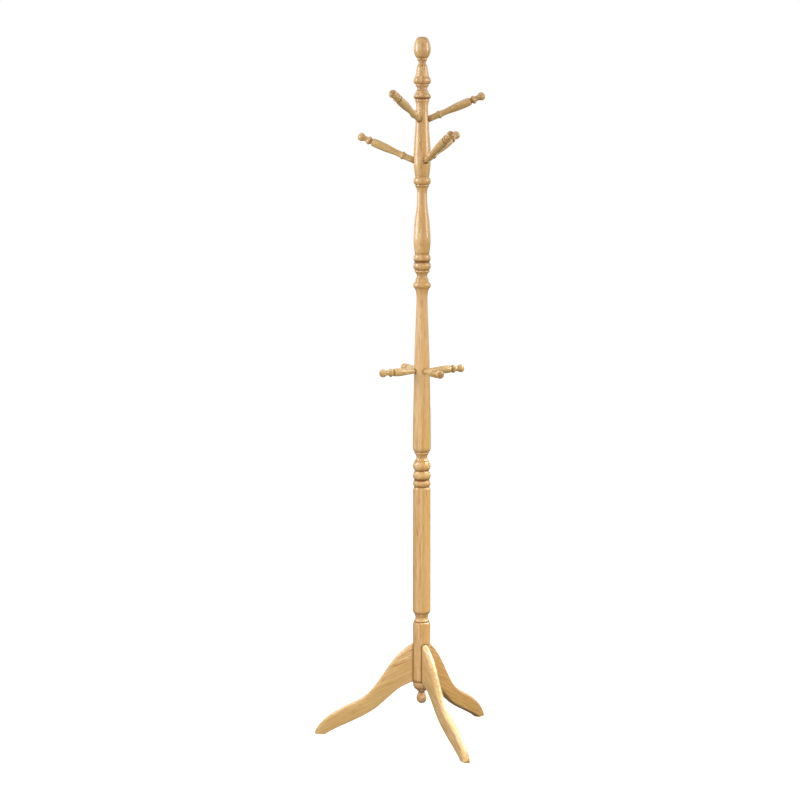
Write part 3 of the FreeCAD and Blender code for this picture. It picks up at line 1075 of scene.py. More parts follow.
@dataclass(frozen=True)
class PegPattern:
    """One pattern of peg and the socket that it is glued into."""

    outline: Outline
    tenon: float
    tenon_length: float
    mouth_gap: float = 0.7
    seat_margin: float = 0.4
    end_gap: float = END_GAP

    @property
    def root(self) -> float:
        """The peg's diameter at its shoulder."""
        return self.outline.start

    def painted_shades(self, depth: float) -> Callable[[np.ndarray], np.ndarray]:
        """The painted shade on a peg: in its grooves, and where it leaves the post, for the shade in the
        socket's mouth.

        Args:
            depth: How far in its shoulder lies.

        Returns:
            A function from the peg's own places, measured from its tenon's end, to the painted shade at each.
        """
        grooves = turned_painted_shades(self.outline.below(self.tenon, self.tenon_length))
        softened = 0.6  # a peg's grooves are shallower than the post's
        fade = 3.0
        rim = self.tenon_length + depth + 3.5  # where the painted shade at the socket ends

        def crease(own: np.ndarray) -> np.ndarray:
            """Gives the painted shade at each of the peg's own places."""
            return np.maximum(softened * grooves(own), np.clip((rim - own[:, 2]) / fade, 0.0, 1.0))

        return crease

    def seat_depth(self, radius: float, tilt: float) -> float:
        """How far in along the peg its shoulder lies.

        Args:
            radius: The post's radius there.
            tilt: The peg's tilt above level, radians.

        Returns:
            The depth from the post's surface.
        """
        half = self.root / 2 + self.mouth_gap
        sagitta = radius - math.sqrt(radius**2 - half**2)
        return half * math.tan(tilt) + sagitta / math.cos(tilt) + self.seat_margin

    def setting(self, radius: float, height: float, tilt: float, direction: float) -> Setting:
        """Where the peg's shoulder lies.

        Args:
            radius: The post's radius there.
            height: The height where the peg leaves the post.
            tilt: Its tilt above level, degrees.
            direction: Its direction about the post, degrees.

        Returns:
            The place of the shoulder.
        """
        angle = math.radians(tilt)
        depth = self.seat_depth(radius, angle)
        low = height - depth * math.sin(angle)
        return Setting(low, radius - depth * math.cos(angle), tilt, direction)


@dataclass(frozen=True)
class Tier:
    """Pegs that leave the post at one height: for each, its turn from the front leg and its tilt."""

    name: str
    pattern: PegPattern
    height: float
    pegs: tuple[Place, ...]


@dataclass
class Pegs:
    """The tiers of turned pegs."""

    long: PegPattern = PegPattern(
        Outline(
            15.5,
            (
                Line(29.8, 15.5),
                Line(3.0, 19.2),
                Bead(3.5, 20.2, 19.2),
                Line(3.0, 15.8),
                Curve(((22.0, 16.2), (38.0, 19.4), (54.0, 20.6), (70.0, 20.6), (78.2, 18.6))),
                *PEG_HEAD,
            ),
        ),
        tenon=9.0,
        tenon_length=5.2,
    )
    short: PegPattern = PegPattern(
        Outline(12.5, (Curve(((14.0, 14.0), (34.0, 18.4), (49.0, 20.0), (59.4, 18.4))), *PEG_HEAD)),
        tenon=8.0,
        tenon_length=9.5,
    )
    segments: int = 56
    tiers: tuple[Tier, ...] = field(init=False)

    def __post_init__(self) -> None:
        """Sets out the tiers, whose sockets were drilled by eye."""
        self.tiers = (
            Tier("top_peg", self.long, 1550.0, ((-53.2, 24.0), (67.4, 23.2), (184.0, 25.6))),
            Tier("upper_peg", self.long, 1449.5, ((3.0, 25.0), (120.8, 26.3), (239.0, 23.8))),
            Tier("short_peg", self.short, 929.0, ((0.0, 0.0), (90.5, 1.6), (180.0, 0.0), (272.5, -1.0))),
        )

    def settings(self, tier: Tier, radius: float) -> list[Setting]:
        """The place of every peg in a tier.

        Args:
            tier: The tier.
            radius: The post's radius there.

        Returns:
            One setting for each peg.
        """
        return [tier.pattern.setting(radius, tier.height, tilt, FRONT + turn) for turn, tilt in tier.pegs]

    def sockets(self, tier: Tier, radius: float) -> list[bpy.types.Mesh]:
        """The holes that a tier's pegs are glued into, as shapes to cut away.

        Args:
            tier: The tier.
            radius: The post's radius there.

        Returns:
            One stepped cylinder for each peg.
        """
        pattern = tier.pattern
        bore = pattern.tenon / 2 + FIT
        mouth = pattern.root / 2 + pattern.mouth_gap
        low, high = -pattern.tenon_length - pattern.end_gap, POST
        steps = ((0.0, low), (bore, low), (bore, 0.0), (mouth, 0.0), (mouth, high), (0.0, high))
        cutters = []
        for setting in self.settings(tier, radius):
            form = bmesh.new()
            spine = [form.verts.new((across * MM, 0.0, up * MM)) for across, up in steps]
            edges = [form.edges.new(pair) for pair in zip(spine, spine[1:])]
            count = self.segments
            spun = {"angle": math.tau, "steps": count, "use_merge": True}
            bmesh.ops.spin(form, geom=spine + edges, cent=(0, 0, 0), axis=(0, 0, 1), **spun)
            mesh = Mesher.from_bmesh(form, "socket")
            mesh.transform(setting.matrix)
            cutters.append(mesh)
        return cutters

    def build(self, lathe: Lathe, radius_at: Callable[[float], float], finish: bpy.types.Material) -> None:
        """Turns every peg and sets it in the post.

        Args:
            lathe: The lathe.
            radius_at: Gives the post's radius at a height.
            finish: The pegs' finish.
        """
        number = 0
        for tier in self.tiers:
            pattern = tier.pattern
            outline = pattern.outline.below(pattern.tenon, pattern.tenon_length)
            for place, setting in enumerate(self.settings(tier, radius_at(tier.height)), 1):
                angle = math.radians(setting.tilt)
                back = pattern.tenon_length
                low = Setting(
                    setting.height - back * math.sin(angle),
                    setting.radial - back * math.cos(angle),
                    setting.tilt,
                    setting.direction,
                )
                node = f"{tier.name}_{place}"
                piece = lathe.turn(f"{node}_turned", outline, finish, low, self.segments)
                heart = (22.0 + 9.0 * (number % 4), 13.0 * (number % 3) - 17.0)
                blank = Blank(heart, along=310.0 * number, turn=77.0 * number)
                painted_shades = pattern.painted_shades(pattern.seat_depth(radius_at(tier.height), angle))
                finish_piece(piece, node, blank, low.matrix, painted_shades, "turned peg on its tenon")
                number += 1


# --- Legs ----------------------------------------------------------------------------------------


@dataclass
class Legs:
    """Three legs sawn from glued board, with worked edges and a dovetail tongue at the root."""

    thickness: float = 18.0
    root_height: float = 99.0
    top_round: float = 7.5
    lower_round: float = 3.0
    reach: float = 273.0
    foot: float = 25.0
    toe_height: float = 4.0
    toe_lean: float = 1.5
    upper_edge: tuple[Place, ...] = (
        (60.0, 209.5),
        (102.0, 152.0),
        (145.0, 101.0),
        (195.0, 73.5),
        (240.0, 45.0),
        (262.0, 23.0),
    )
    lower_edge: tuple[Place, ...] = (
        (22.2, 142.0),
        (30.0, 138.6),
        (45.0, 131.4),
        (80.0, 104.0),
        (120.0, 68.6),
        (165.0, 42.0),
        (215.0, 17.8),
    )
    tongue_height: float = 86.0
    tongue_depth: float = 8.5
    tongue_neck: float = 9.0
    tongue_end: float = 12.0
    seat_gap: float = 0.3
    seat_rise: float = 1.5
    lead_in: float = 3.0
    lead_in_height: float = 6.0
    grain_slope: float = 26.0
    stations: int = 96
    directions: dict[str, float] = field(
        default_factory=lambda: {"front_leg": FRONT, "right_leg": FRONT + 120.0, "left_leg": FRONT + 240.0}
    )
    glue: dict[str, float] = field(default_factory=lambda: {"left_leg": -190.8})  # joints that show

    @property
    def seat_width(self) -> float:
        """The width of the flat that a leg bears on."""
        return self.thickness + 2 * self.seat_gap

    @property
    def seat_radius(self) -> float:
        """The distance of that flat from the post's axis."""
        return math.sqrt((POST / 2) ** 2 - (self.seat_width / 2) ** 2)

    def build(self, finishes: dict[str, bpy.types.Material]) -> None:
        """Saws the legs and slides them onto the post.

        Args:
            finishes: Each leg's finish.
        """
        for number, (node, direction) in enumerate(self.directions.items()):
            form = bmesh.new()
            self._board(form)
            self._tongue(form)
            mesh = Mesher.from_bmesh(form, f"{node}_sawn")
            turn = Matrix.Rotation(math.radians(direction), 4, "Z")
            mesh.transform(turn)
            mesh.materials.append(finishes[node])
            piece = Mesher.object(mesh.name, mesh)
            slope = Matrix.Rotation(math.radians(90.0 + self.grain_slope), 4, "Y")
            blank = Blank((38.0 + 14.0 * number, 46.0), 700.0 * number, 0.0, self.glue.get(node))
            # Painted shade on the leg's root, against the block.
            shade = self._painted_shades(slope)
            finish_piece(piece, node, blank, turn @ slope, shade, "sawn leg with worked edges")

    def _painted_shades(self, slope: Matrix) -> Callable[[np.ndarray], np.ndarray]:
        """The painted shade on a leg: only at its root, against the block, where shade falls.

        Args:
            slope: The turn from the grain's axes to the leg's.

        Returns:
            A function from places in the grain's axes to the painted shade at each.
        """
        outward = np.array(slope)[0, :3]
        fade = 3.0
        rim = self.seat_radius + 4.5  # where the painted shade at the root ends

        def crease(own: np.ndarray) -> np.ndarray:
            """Gives the painted shade at each place."""
            return (rim - own @ outward) / fade

        return crease

    def beside(self, own: np.ndarray) -> np.ndarray:
        """How nearly each place on the post's block lies against a leg or the base finial, as the painted
        shade at those joints.

        Args:
            own: Places measured from the post's foot.

        Returns:
            1 against a leg, down to 0 a little way off.
        """
        fade = 2.0
        margin = 2.2  # how far beside a leg the painted shade ends
        foot = 3.6  # how far above the base finial it ends
        close = (foot - own[:, 2]) / fade
        for direction in self.directions.values():
            angle = math.radians(direction)
            out = own[:, 0] * math.cos(angle) + own[:, 1] * math.sin(angle)
            across = np.abs(own[:, 1] * math.cos(angle) - own[:, 0] * math.sin(angle))
            near = np.where(out > 0, (self.seat_width / 2 + margin - across) / fade, 0.0)
            close = np.maximum(close, np.where(own[:, 2] < self.root_height, near, 0.0))
        return close

    def _chain(self, knots: Sequence[Place], inset: float, side: float) -> np.ndarray:
        """One long edge of the leg, moved inwards and trimmed to the root, the floor and the toe.

        Args:
            knots: The edge's points from root to foot.
            inset: How far it is moved inwards.
            side: 1 for the upper edge and -1 for the lower.

        Returns:
            Evenly spaced (distance, height) rows.
        """
        spacing = 1.2
        edge = spline_through(np.array(knots), spacing)
        tangent = np.gradient(edge, axis=0)
        tangent /= np.linalg.norm(tangent, axis=1)[:, None]
        longer = 14.0  # drawn on past both ends, so that an inset edge still reaches them
        edge = np.concatenate(([edge[0] - longer * tangent[0]], edge, [edge[-1] + longer * tangent[-1]]))
        tangent = np.concatenate((tangent[:1], tangent, tangent[-1:]))
        normal = side * np.column_stack((-tangent[:, 1], tangent[:, 0]))
        moved = edge - inset * normal
        root = self.seat_radius + FIT
        lean = self.toe_lean / self.toe_height
        tip = self.reach - self.toe_lean
        clear = moved[:, 0] - root
        start = int(np.argmax(clear >= 0))
        inside = np.minimum(moved[:, 1], tip + lean * moved[:, 1] - moved[:, 0])
        stop = start + int(np.argmax(inside[start:] < 0))
        first, last = self._crossing(moved, clear, start), self._crossing(moved, inside, stop)
        trimmed = np.concatenate(([first], moved[start:stop], [last]))
        reach = np.concatenate(([0.0], np.cumsum(np.linalg.norm(np.diff(trimmed, axis=0), axis=1))))
        even = np.linspace(0.0, reach[-1], self.stations + 1)
        return np.column_stack([np.interp(even, reach, trimmed[:, axis]) for axis in (0, 1)])

    @staticmethod
    def _crossing(places: np.ndarray, margin: np.ndarray, index: int) -> np.ndarray:
        """Where a row of places passes the point at which their margin is nothing.

        Args:
            places: The places in order.
            margin: How far each lies inside.
            index: The first place beyond that point.

        Returns:
            The point, between that place and the one before it.
        """
        share = margin[index - 1] / (margin[index - 1] - margin[index])
        return places[index - 1] + share * (places[index] - places[index - 1])

    def _board(self, form: bmesh.types.BMesh) -> None:
        """Adds the leg's board along +X: a stack of outlines across its thickness, inset where it is rounded.

        Args:
            form: The bmesh to add to.
        """
        root = self.seat_radius + FIT
        top = (root, POST_FOOT + self.root_height)
        corner = (root, POST_FOOT)
        toe = (self.reach, self.toe_height)
        tip = (self.reach - self.toe_lean, 0.0)
        heel = (tip[0] - self.foot, 0.0)
        depths = {0.0, self.thickness / 2}
        for radius, count in ((self.top_round, 8), (self.lower_round, 5)):
            depths |= {radius * (1 - math.cos(math.pi / 2 * i / count)) for i in range(1, count + 1)}
        levels = sorted(depths)
        sides = [(-self.thickness / 2 + depth, depth) for depth in levels]
        sides += [(self.thickness / 2 - depth, depth) for depth in reversed(levels[:-1])]
        rings = []
        for across, depth in sides:
            upper = self._chain((top, *self.upper_edge, toe), self._inset(self.top_round, depth), 1.0)
            lower = self._chain((corner, *self.lower_edge, heel), self._inset(self.lower_round, depth), -1.0)
            toe_end = min(tip[0], upper[-1, 0])
            outline = [*upper, (toe_end, 0.0), *reversed(lower)]
            rings.append([form.verts.new((x * MM, across * MM, z * MM)) for x, z in outline])
        count = len(rings[0])
        for near, far in zip(rings, rings[1:]):
            for i in range(count):
                after = (i + 1) % count
                form.faces.new((near[i], near[after], far[after], far[i]))
        for ring in (rings[0], rings[-1]):
            last = self.stations
            form.faces.new((ring[last], ring[last + 1], ring[last + 2]))
            for i in range(last):
                form.faces.new((ring[i], ring[i + 1], ring[count - 2 - i], ring[count - 1 - i]))

    @staticmethod
    def _inset(radius: float, depth: float) -> float:
        """How far a rounded edge lies in.

        Args:
            radius: The radius of the rounding.
            depth: The depth below the board's face.

        Returns:
            The distance from the square edge.
        """
        if depth >= radius:
            return 0.0
        return radius - math.sqrt(radius**2 - (radius - depth) ** 2)

    def _tongue_points(self, growth: float, outer: float) -> list[Vector]:
        """The dovetail's section seen from above.

        Args:
            growth: How much bigger it is all round.
            outer: How far out it is drawn.

        Returns:
            Its corners in metres, at the post's foot.
        """
        inner = self.seat_radius - self.tongue_depth - growth
        flare = (self.tongue_end - self.tongue_neck) / 2 / self.tongue_depth
        neck = self.tongue_neck / 2 + growth
        end = neck + flare * (self.seat_radius - inner)
        half = ((inner, end), (self.seat_radius, neck), (outer, neck))
        corners = [(x, -y) for x, y in half] + [(x, y) for x, y in reversed(half)]
        return [Vector((x, y, POST_FOOT)) * MM for x, y in corners]

    def _tongue(self, form: bmesh.types.BMesh) -> None:
        """Adds the dovetail tongue.

        Args:
            form: The bmesh to add to.
        """
        points = self._tongue_points(0.0, self.seat_radius + FIT)
        tongue = Mesher.prism("tongue", points, Vector((0, 0, self.tongue_height * MM)))
        form.from_mesh(tongue)
        bpy.data.meshes.remove(tongue)

    def seats(self) -> list[bpy.types.Mesh]:
        """What is cut from the block for the legs: flats with round tops, slots and their mouths.

        Returns:
            The shapes to cut away.
        """
        half = self.seat_width / 2
        crown = POST_FOOT + self.root_height + self.seat_rise - half
        arch = [(half * math.cos(a), crown + half * math.sin(a)) for a in np.linspace(0, math.pi, 25)]
        flat = [(half, POST_FOOT - POST), *arch, (-half, POST_FOOT - POST)]
        mouth = half + self.lead_in
        apex = POST_FOOT + self.lead_in_height * mouth / self.lead_in
        slant = self.lead_in / self.lead_in_height
        wide = mouth + slant * POST
        wedge = [(wide, POST_FOOT - POST), (0.0, apex), (-wide, POST_FOOT - POST)]
        deep = self.seat_radius - self.lead_in
        slot = self._tongue_points(FIT, self.seat_radius + POST)
        cutters = []
        for direction in self.directions.values():
            shapes = [
                self._outward(flat, self.seat_radius),
                self._outward(wedge, deep),
                Mesher.prism("slot", [p - Vector((0, 0, POST * MM)) for p in slot], self._slot_rise()),
            ]
            turn = Matrix.Rotation(math.radians(direction), 4, "Z")
            for shape in shapes:
                shape.transform(turn)
            cutters += shapes
        return cutters

    def _slot_rise(self) -> Vector:
        """How far up the slot is cut, from well below the post's foot."""
        return Vector((0, 0, (self.tongue_height + END_GAP + POST) * MM))

    @staticmethod
    def _outward(corners: Sequence[Place], start: float) -> bpy.types.Mesh:
        """A shape with (across, height) corners, drawn outwards along +X from a distance off the axis."""
        points = [Vector((start, across, height)) * MM for across, height in corners]
        return Mesher.prism("seat", points, Vector((POST * MM, 0, 0)))


# --- Post ----------------------------------------------------------------------------------------


@dataclass
class Post:
    """The post in its three turned lengths, with the finials at its ends."""

    block: float = 150.5
    shaft: float = 309.7
    segments: int = 112
    lower: Outline = field(init=False)
    middle: Outline = field(init=False)
    upper: Outline = field(init=False)
    top_finial: Outline = field(init=False)
    base_finial: Outline = field(init=False)

    def __post_init__(self) -> None:
        """Draws the outlines."""
        self.lower = self._lower()
        self.middle = self._middle()
        self.upper = self._upper()
        self.top_finial = self._top_finial()
        self.base_finial = self._base_finial()

    @property
    def joints(self) -> tuple[float, float, float]:
        """Where the lengths of the post end.

        Returns:
            The heights for the lower, middle and upper lengths.
        """
        lower = POST_FOOT + self.lower.height
        middle = lower + self.middle.height
        return lower, middle, middle + self.upper.height

    def radius_at(self, height: float) -> float:
        """The post's radius away from sockets and seats.

        Args:
            height: The height above the floor.

        Returns:
            The radius.
        """
        lower, middle, _ = self.joints
        if height < lower:
            return self.lower.radius_at(height - POST_FOOT)
        if height < middle:
            return self.middle.radius_at(height - lower)
        return self.upper.radius_at(height - middle)

    def _lower(self) -> Outline:
        """The block that carries the legs, and the plain shaft."""
        return Outline(
            POST,
            (
                Line(self.block, POST),
                Line(2.5, 39.0),
                Line(0.0, 36.0),
                Line(1.0, 36.0),
                Bead(4.5, RING, 36.0),
                Bead(13.0, 31.3, 34.0),
                Line(0.0, 33.0),
                Bead(3.0, 35.7, 34.5),
                Line(0.0, GROOVE - 1.3),
                Line(0.8, GROOVE - 1.3),
                Line(0.0, BEAD_FOOT),
                Bead(6.5, 42.3, BEAD),
                Line(self.shaft, POST),
                Line(4.6, 38.5),
                Line(0.0, 37.0),
                Line(1.0, 37.0),
                Bead(16.0, BEAD, 37.5),
                Line(0.9, GROOVE),
            ),
        )

    def _middle(self) -> Outline:
        """The long taper between two sets of beads."""
        taper = (
            (62.3, 43.9),
            (162.3, 40.3),
            (242.3, 37.0),
            (302.3, 32.6),
            (342.3, 30.1),
            (376.3, 28.3),
            (388.3, 30.2),
            (396.8, BEAD_FOOT),
        )
        return Outline(
            GROOVE,
            (
                Line(0.0, BEAD_FOOT),
                Bead(22.0, BEAD, BEAD_FOOT),
                Line(1.0, GROOVE - 0.4),
                Line(2.0, BEAD_FOOT),
                Bead(20.5, BEAD, 37.0),
                Line(0.0, 36.0),
                Line(1.0, 36.0),
                Line(2.0, 37.0),
                Bead(17.0, COVE, 34.5),
                Line(0.0, 36.0),
                Bead(4.0, 37.2, 36.0),
                Line(0.0, GROOVE),
                Line(1.2, GROOVE),
                Line(0.0, BEAD_FOOT),
                Bead(11.0, 43.4, 45.0),
                Curve(taper, step=4.0),
                Bead(15.5, BEAD, 35.5),
                Line(0.0, 33.4),
                Line(7.5, 33.4),
                Bead(16.5, COVE - 1.0, 34.0),
                Line(0.0, 37.0),
                Bead(5.0, RING, 37.0),
                Line(0.0, GROOVE),
                Line(1.5, GROOVE),
                Line(0.0, BEAD_FOOT),
                Bead(18.5, BEAD, BEAD_FOOT),
                Line(1.0, GROOVE),
            ),
        )

    def _upper(self) -> Outline:
        """The two vases that carry the raised pegs."""
        lower_vase = (
            (8.0, 38.6),
            (18.0, 41.2),
            (33.0, 43.0),
            (53.0, 40.9),
            (78.0, 37.3),
            (98.0, 31.9),
            (118.0, 27.0),
            (140.0, 25.0),
            (154.0, 25.6),
            (160.0, 28.4),
            (163.5, 32.0),
        )
        upper_vase = (
            (9.0, 37.4),
            (21.0, 40.6),
            (47.0, 43.2),
            (74.0, 41.0),
            (99.0, 37.6),
            (117.0, 35.2),
            (134.0, 33.4),
            (149.0, 30.9),
            (164.5, 29.5),
            (175.0, 30.4),
            (181.0, 32.0),
        )
        return Outline(
            GROOVE,
            (
                Line(0.0, BEAD_FOOT),
                Bead(18.0, BEAD - 1.0, BEAD_FOOT),
                Line(1.5, GROOVE),
                Line(1.5, BEAD_FOOT),
                Curve(lower_vase),
                Bead(4.5, 35.0, 34.0),
                Line(0.0, GROOVE - 1.3),
                Line(1.2, GROOVE - 1.3),
                Line(0.0, BEAD_FOOT),
                Bead(17.0, BEAD - 1.0, 37.0),
                Line(0.0, GROOVE),
                Line(2.0, GROOVE),
                Curve(upper_vase),
                Line(0.0, 31.5),
                Line(1.0, 31.5),
                Line(0.0, 34.5),
                Bead(6.0, 36.0, 34.5),
                Line(1.3, 34.0),
            ),
        )

    @staticmethod
    def _top_finial() -> Outline:
        """The finial on top: a vase under an egg."""
        vase = (
            (3.5, 34.0),
            (9.0, 31.9),
            (16.0, 29.6),
            (23.5, 26.9),
            (29.5, 22.5),
            (35.0, 18.3),
            (38.5, 19.6),
            (41.5, 23.0),
        )
        egg = (
            (3.0, 31.2),
            (8.0, 36.8),
            (14.0, 40.8),
            (21.0, 42.8),
            (29.0, 41.2),
            (36.5, 37.8),
            (43.0, 33.2),
            (48.0, 26.5),
            (51.0, 16.0),
            (51.9, 0.0),
        )
        return Outline(
            34.0,
            (
                Line(1.0, 34.0),
                Line(0.0, BEAD_FOOT),
                Bead(9.5, BEAD - 0.4, 40.0),
                Line(4.5, 33.5),
                Line(4.0, 32.4),
                Line(0.0, 31.0),
                Bead(12.0, 25.0, 29.0),
                Line(0.0, 31.0),
                Bead(4.5, 33.0, 32.0),
                Line(0.0, 31.5),
                Line(0.8, 31.5),
                Line(0.0, 34.5),
                Bead(16.5, BEAD, 36.5),
                Curve(vase),
                Bead(4.5, 25.2, 24.0),
                Line(0.0, 22.5),
                Line(0.8, 22.5),
                Line(0.0, 26.0),
                Curve(egg, dome=True),
            ),
        )

    @staticmethod
    def _base_finial() -> Outline:
        """The finial under the foot: a cup over a drop."""
        drop = ((3.5, 20.5), (9.0, 24.9), (14.5, 25.4), (21.0, 21.8), (26.0, 17.2), (29.5, 15.6))
        cup = ((2.7, 33.0), (6.5, 38.8), (10.5, 42.2), (13.0, 43.0))
        elements = (Curve(drop, step=1.5), Line(1.5, 20.0), Bead(3.0, 24.0, 23.0), Curve(cup, step=1.5))
        return Outline(12.5, (*elements, Bead(7.5, 43.4, 42.6)))

    def build(
        self,
        lathe: Lathe,
        pegs: Pegs,
        legs: Legs,
        wood: bpy.types.Material,
        top_wood: bpy.types.Material,
        base_wood: bpy.types.Material,
    ) -> None:
        """Turns the lengths of the post and both finials, and cuts what the legs and pegs go into.

        Args:
            lathe: The lathe.
            pegs: The pegs, for their sockets.
            legs: The legs, for their seats.
            wood: The post's finish.
            top_wood: The top finial's finish.
            base_wood: The base finial's finish.
        """
        lower, middle, upper = self.joints
        cuts: dict[str, list[bpy.types.Mesh]] = {"middle_pole": [], "upper_pole": []}
        cuts["lower_pole"] = legs.seats()
        for tier in pegs.tiers:
            name = "middle_pole" if tier.height < middle else "upper_pole"
            cuts[name] += pegs.sockets(tier, self.radius_at(tier.height))
        lengths = (
            ("lower_pole", self.lower, POST_FOOT, Blank((31.0, 44.0), 0.0, glue=1.5)),
            ("middle_pole", self.middle, lower, Blank((26.0, 37.0), 900.0, glue=-0.5)),
            ("upper_pole", self.upper, middle, Blank((29.0, 41.0), 2100.0, glue=-0.5)),
        )
        for node, outline, height, blank in lengths:
            setting = Setting(height)
            piece = lathe.turn(f"{node}_turned", outline, wood, setting, self.segments)
            if cuts[node]:
                Mesher.carve(piece, cuts[node])
            # Painted shade in the grooves, in the sockets and seats, and on the block beside the legs.
            painted_shades = turned_painted_shades(outline, legs.beside if node == "lower_pole" else None)
            finish_piece(piece, node, blank, setting.matrix, painted_shades, "turned length of the post")
        ends = (
            ("top_finial", self.top_finial, upper, top_wood, Slot.POST, Blank((24.0, 33.0), 3000.0)),
            (
                "base_finial",
                self.base_finial,
                POST_FOOT - self.base_finial.height,
                base_wood,
                Slot.FINIAL,
                Blank((19.0, -27.0), 3600.0),
            ),
        )
        for node, outline, height, finish, slot, blank in ends:
            setting = Setting(height)
            piece = lathe.turn(f"{node}_turned", outline, finish, setting, self.segments)
            finish_piece(piece, node, blank, setting.matrix, turned_painted_shades(outline), "turned finial")


# --- Fasteners -----------------------------------------------------------------------------------


@dataclass
class Fasteners:
    """The bolts, inserts and dowel inside the joints, which keep their solids."""

    metals: dict[str, Metal] = field(
        default_factory=lambda: {
            "bolt": Metal("zinc_plate", srgb(196, 198, 202)),
            "insert": Metal("plain_brass", srgb(205, 170, 102), 0.34),
        }
    )

    def dress(self, nodes: dict[str, bpy.types.Object], dowel: bpy.types.Material) -> None:
        """Gives each hidden fastener its finish.

        Args:
            nodes: The frame's solids by name.
            dowel: The bare wood of the dowel.
        """
        finishes = {kind: metal.material() for kind, metal in self.metals.items()}
        finishes["dowel"] = dowel
        for name, node in nodes.items():
            kind = name.rsplit("_", 1)[-1]
            if kind in finishes:
                for slot in node.material_slots:
                    slot.material = finishes[kind]
                log.info("%s: kept as a solid, finished as %s", name, finishes[kind].name)


# --- Studio --------------------------------------------------------------------------------------


@dataclass(frozen=True)
class Softbox:
    """A soft light on a stand: its place about the rack, its size and its strength."""

    name: str
    side: float  # degrees to the right of the viewer
    distance: float
    height: float
    width: float
    length: float
    power: float
    aim: float  # height that it points at
    gloss: bool = True  # whether it shows in the lacquer
    spread: float = 180.0  # how widely it shines, degrees

    def place(self) -> None:
        """Hangs the light."""
        lamp = bpy.data.lights.new(self.name, "AREA")
        lamp.shape = "RECTANGLE"
        lamp.size = self.width
        lamp.size_y = self.length
        lamp.energy = self.power
        lamp.spread = math.radians(self.spread)
        angle = math.radians(VIEW_SIDE + self.side)
        stand = Vector((math.cos(angle), math.sin(angle), 0)) * self.distance + Vector((0, 0, self.height))
        light = bpy.data.objects.new(self.name, lamp)
        light.location = stand
        light.rotation_euler = (Vector((0, 0, self.aim)) - stand).to_track_quat("-Z", "Y").to_euler()
        light.visible_camera = False
        light.visible_glossy = self.gloss
        bpy.context.scene.collection.objects.link(light)


@dataclass(frozen=True)
class Surround:
    """The studio's walls: white all round at eye level and behind the rack, dimmer overhead and in front."""

    below: float = 0.12
    front: float = 0.35
    behind: float = 1.0

    def build(self) -> None:
        """Lights the world."""
        world = bpy.data.worlds.new("surround")
        world.use_nodes = True
        kit = NodeKit(world.node_tree)
        way = kit.signal("ShaderNodeTexCoord", None, "Generated")
        rise = kit.signal("ShaderNodeSeparateXYZ", None, "Z", Vector=way)
        angle = math.radians(VIEW_SIDE)
        away = (-math.cos(angle), -math.sin(angle), 0.0)
        behind = kit.vector("DOT_PRODUCT", way, away, out="Value")
        level = rise.ramp(-0.10, -0.06) * rise.ramp(0.14, 0.08)
        walls = self.front + (self.behind - self.front) * behind.ramp(-0.1, 0.7)
        dim = self.below + (walls - self.below) * rise.ramp(-0.06, 0.0)
        strength = dim + (1.0 - dim) * level
        kit.feed(world.node_tree.nodes["Background"].inputs["Strength"], strength)
        kit.feed(world.node_tree.nodes["Background"].inputs["Color"], (1.0, 1.0, 1.0))
        bpy.context.scene.world = world


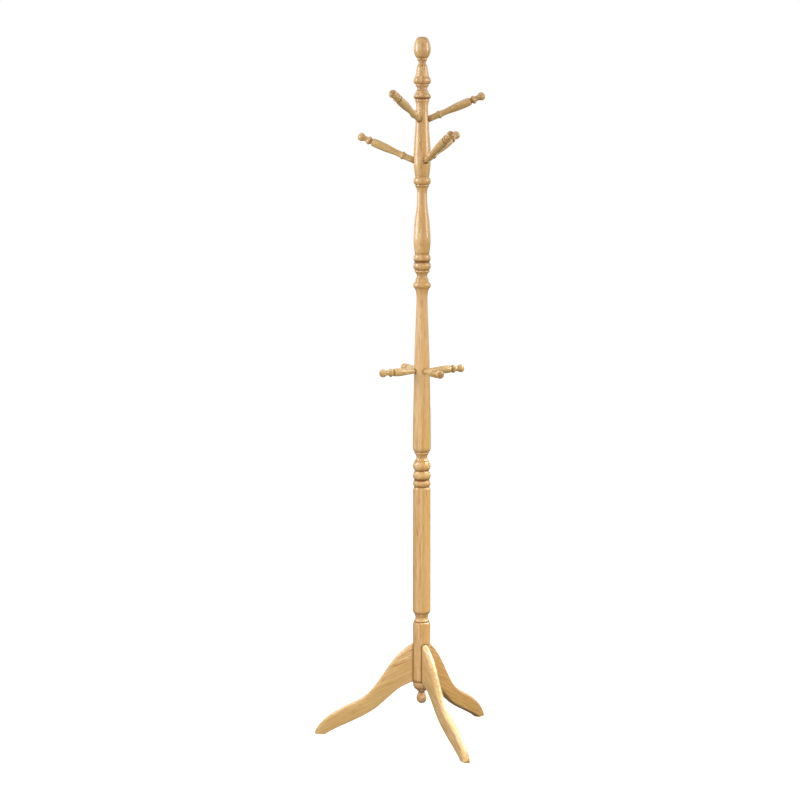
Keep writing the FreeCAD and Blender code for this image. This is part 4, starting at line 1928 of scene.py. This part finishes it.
@dataclass
class Studio:
    """A plain white studio and the camera."""

    distance: float = 5.45517
    eye: float = 1.4505
    pitch: float = -6.2194
    heading: float = -VIEW_SIDE - 90.0 - 0.5717  # turned a little to the left of the post
    focal: float = 99.215
    sensor: float = 36.0
    surround: Surround = Surround()
    floor_tone: float = 0.25
    floor_glow: float = 0.92
    floor_size: float = 60.0
    lights: tuple[Softbox, ...] = (
        Softbox("left_softbox", -80.0, 1.6, 1.8, 0.8, 1.2, 19.0, 1.2),
        Softbox("right_softbox", 74.0, 1.6, 1.9, 0.8, 1.2, 15.5, 1.4),
        Softbox("top_softbox", -40.0, 1.6, 6.4, 2.4, 2.4, 50.0, 0.6),
        Softbox("front_softbox", -8.0, 1.5, 0.5, 1.6, 1.0, 15.0, 0.4, gloss=False),
        Softbox("leg_softbox", 105.0, 0.9, 1.2, 0.9, 0.9, 3.2, 0.05, spread=50.0),
    )

    def build(self) -> None:
        """Lays the floor, lights the surround and the softboxes, and sets up the camera."""
        self._floor()
        self.surround.build()
        for light in self.lights:
            light.place()
        self._camera()
        bpy.context.scene.view_settings.view_transform = "Standard"
        log.info("studio: floor, surround, %d softboxes and camera", len(self.lights))

    def _floor(self) -> None:
        """Lays a plain pale floor that glows, and neither lights the rack nor shows in its lacquer."""
        half = self.floor_size / 2
        corners = [(x, y, 0.0) for x, y in ((-half, -half), (half, -half), (half, half), (-half, half))]
        mesh = bpy.data.meshes.new("floor")
        mesh.from_pydata(corners, [], [(0, 1, 2, 3)])
        material = bpy.data.materials.new("pale_floor")
        material.use_nodes = True
        surface = material.node_tree.nodes["Principled BSDF"].inputs
        surface["Base Color"].default_value = (self.floor_tone, self.floor_tone, self.floor_tone, 1.0)
        surface["Roughness"].default_value = 0.9
        surface["Specular IOR Level"].default_value = 0.0
        surface["Emission Color"].default_value = (1.0, 1.0, 1.0, 1.0)
        surface["Emission Strength"].default_value = self.floor_glow
        mesh.materials.append(material)
        floor = Mesher.object("floor", mesh)
        floor.visible_diffuse = False
        floor.visible_glossy = False

    def _camera(self) -> None:
        """Stands the camera where the rack is seen from."""
        lens = bpy.data.cameras.new("camera")
        lens.sensor_width = self.sensor
        lens.lens = self.focal
        camera = bpy.data.objects.new("camera", lens)
        angle = math.radians(VIEW_SIDE)
        camera.location = (self.distance * math.cos(angle), self.distance * math.sin(angle), self.eye)
        camera.rotation_euler = (math.radians(90.0 + self.pitch), 0.0, -math.radians(self.heading))
        bpy.context.scene.collection.objects.link(camera)
        bpy.context.scene.camera = camera


def main() -> None:
    """Builds the rack on its frame and the studio round it."""
    logging.basicConfig(level=logging.INFO, format="%(name)s: %(message)s")
    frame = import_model()
    Studio().build()
    lathe = Lathe()
    post_wood = Wood("lacquered_post")
    knot = Knot((-0.0048, -0.0105, 1.6800), 0.0019)
    top_wood = Wood("lacquered_top_finial", knots=(knot,))
    base_wood = Wood("lacquered_base_finial", pale=srgb(222, 180, 133), mid=srgb(206, 157, 104))
    light = {"pale": srgb(233, 198, 140), "mid": srgb(217, 174, 111), "second": srgb(217, 175, 108)}
    leg_wood = Wood("lacquered_leg", ring=0.0085, seam=0.8, busy=1.25, **light).material()
    # A darker, more orange copy of the leg wood for the right leg: painted shade for how the light falls on
    # the face it turns to the viewer.
    warm = {"pale": srgb(214, 168, 100), "mid": srgb(197, 148, 78), "deep": srgb(158, 104, 46)}
    shaded_warm_leg_wood = Wood("lacquered_shaded_warm_leg", ring=0.0085, **warm).material()
    olive = {"pale": srgb(220, 186, 126), "mid": srgb(202, 162, 98), "deep": srgb(158, 110, 52)}
    peg_wood = Wood("lacquered_peg", figure=0.08, busy=0.45, **olive)
    bare = Wood("bare_dowel", pale=srgb(236, 212, 170), lacquer=0.0, roughness=0.7)
    pegs, legs, post = Pegs(), Legs(), Post()
    post.build(lathe, pegs, legs, post_wood.material(), top_wood.material(), base_wood.material())
    legs.build({"front_leg": leg_wood, "right_leg": shaded_warm_leg_wood, "left_leg": leg_wood})
    pegs.build(lathe, post.radius_at, peg_wood.material())
    Fasteners().dress(frame["nodes"], bare.material())


if __name__ == "__main__":
    main()
